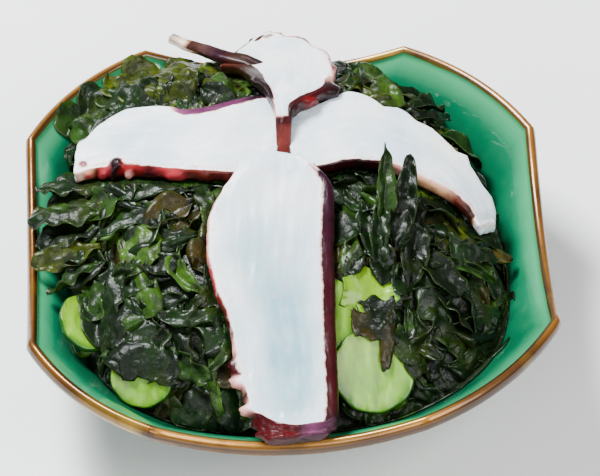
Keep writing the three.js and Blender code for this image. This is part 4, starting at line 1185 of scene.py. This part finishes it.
def wakame_material():
    s = Shader("wakame_leaf")
    colour = s.layers(
        s.attribute("leaf", "Color"),
        (s.span(s.noise(150, 4, 0.65), 0.40, 0.62, 0, 0.85), (0.0012, 0.0034, 0.0007)),
        (s.span(s.noise(60, 2), 0.56, 0.76, 0, 0.5), (0.030, 0.038, 0.002)),
        (s.times(s.span(s.attribute("rim"), 0.82, 1.0), 0.3), (0.035, 0.055, 0.006)),
        (0.5, (0.70, 1.0, 0.80), "MULTIPLY"))
    s.set(
        Base_Color=colour, Roughness=s.span(s.noise(300, 3), 0.3, 0.7, 0.26, 0.5),
        Specular_IOR_Level=0.19, Coat_Weight=0.02, Coat_Roughness=0.1,
        Normal=s.bump(s.noise(520, 3), 0.35, 0.0006, s.bump(s.noise(210, 3), 0.5, 0.0014)))
    return s.material


def core_material():
    s = Shader("wakame_core")
    s.set(Base_Color=s.ramp(s.noise(120, 4), ".3 .002 .005 .002; .7 .01 .022 .005"),
          Roughness=0.4, Specular_IOR_Level=0.3,
          Normal=s.bump(s.noise(260, 4), 0.6, 0.002))
    return s.material


# ---- assembly ----

flesh, green, weed = octopus_material(), cucumber_material(), wakame_material()

dish = dress(make_dish(), glaze_material(), "dish")
slice_trees, cucumber_trees = [], []
for number, (name, text) in enumerate(SLICES.items()):
    piece = make_slice(name + "_slice", rows_of(text), LOOKS[name], seed=number + 1)
    slice_trees.append(tree_of(dress(piece, flesh, name)))
tongue = make_slice("octopus_back_tongue", TONGUE, LOOKS["tongue"], seed=9,
                    thickness=TONGUE_THICKNESS)
slice_trees.append(tree_of(dress(tongue, flesh, "octopus_back")))
for number, (name, spec) in enumerate(CUCUMBERS.items()):
    piece = make_cucumber(name + "_slice", spec, seed=number + 3)
    cucumber_trees.append(tree_of(dress(piece, green, name)))

dish_tree, limits = tree_of(dish), Limits(slice_trees, cucumber_trees)
dress(make_core(dish_tree, limits), core_material(), "wakame")
for piece in make_leaves(dish_tree, limits):
    dress(piece, weed, "wakame")

# ---- floor and light ----

FLOOR_REACH = 4
floor_mesh = bpy.data.meshes.new("floor")
floor_mesh.from_pydata([(x * FLOOR_REACH, y * FLOOR_REACH, 0)
                        for x, y in ((-1, -1), (1, -1), (1, 1), (-1, 1))], [], [(0, 1, 2, 3)])
floor = link("floor", floor_mesh)
paper = Shader("floor")
paper.set(Roughness=0.9, Base_Color=paper.ramp(paper.noise(3), ".3 .86 .86 .86; .7 .9 .9 .9"))
floor_mesh.materials.append(paper.material)

world = bpy.data.worlds.new("studio")
world.use_nodes = True
background = world.node_tree.nodes["Background"]
background.inputs["Color"].default_value = (0.97, 0.985, 1.0, 1)
background.inputs["Strength"].default_value = 0.28
bpy.context.scene.world = world

LIGHT_AIM = Vector((0, 0, 0.04))
for name, place, size, power, colour in (
        ("key", (-0.35, 0.30, 0.80), (0.3, 0.3), 27.0, (0.96, 0.98, 1.0)),
        ("fill", (0.5, -0.45, 0.7), (0.5, 0.5), 8.0, (1.0, 0.99, 0.97)),
        ("front", (-0.3, -0.8, 0.6), (0.5, 0.4), 5.0, (1, 1, 1))):
    lamp = bpy.data.lights.new(name, "AREA")
    lamp.shape = "RECTANGLE"
    lamp.size, lamp.size_y = size
    lamp.energy, lamp.color = power, colour
    stand(name, lamp, place, Vector(place) - LIGHT_AIM)
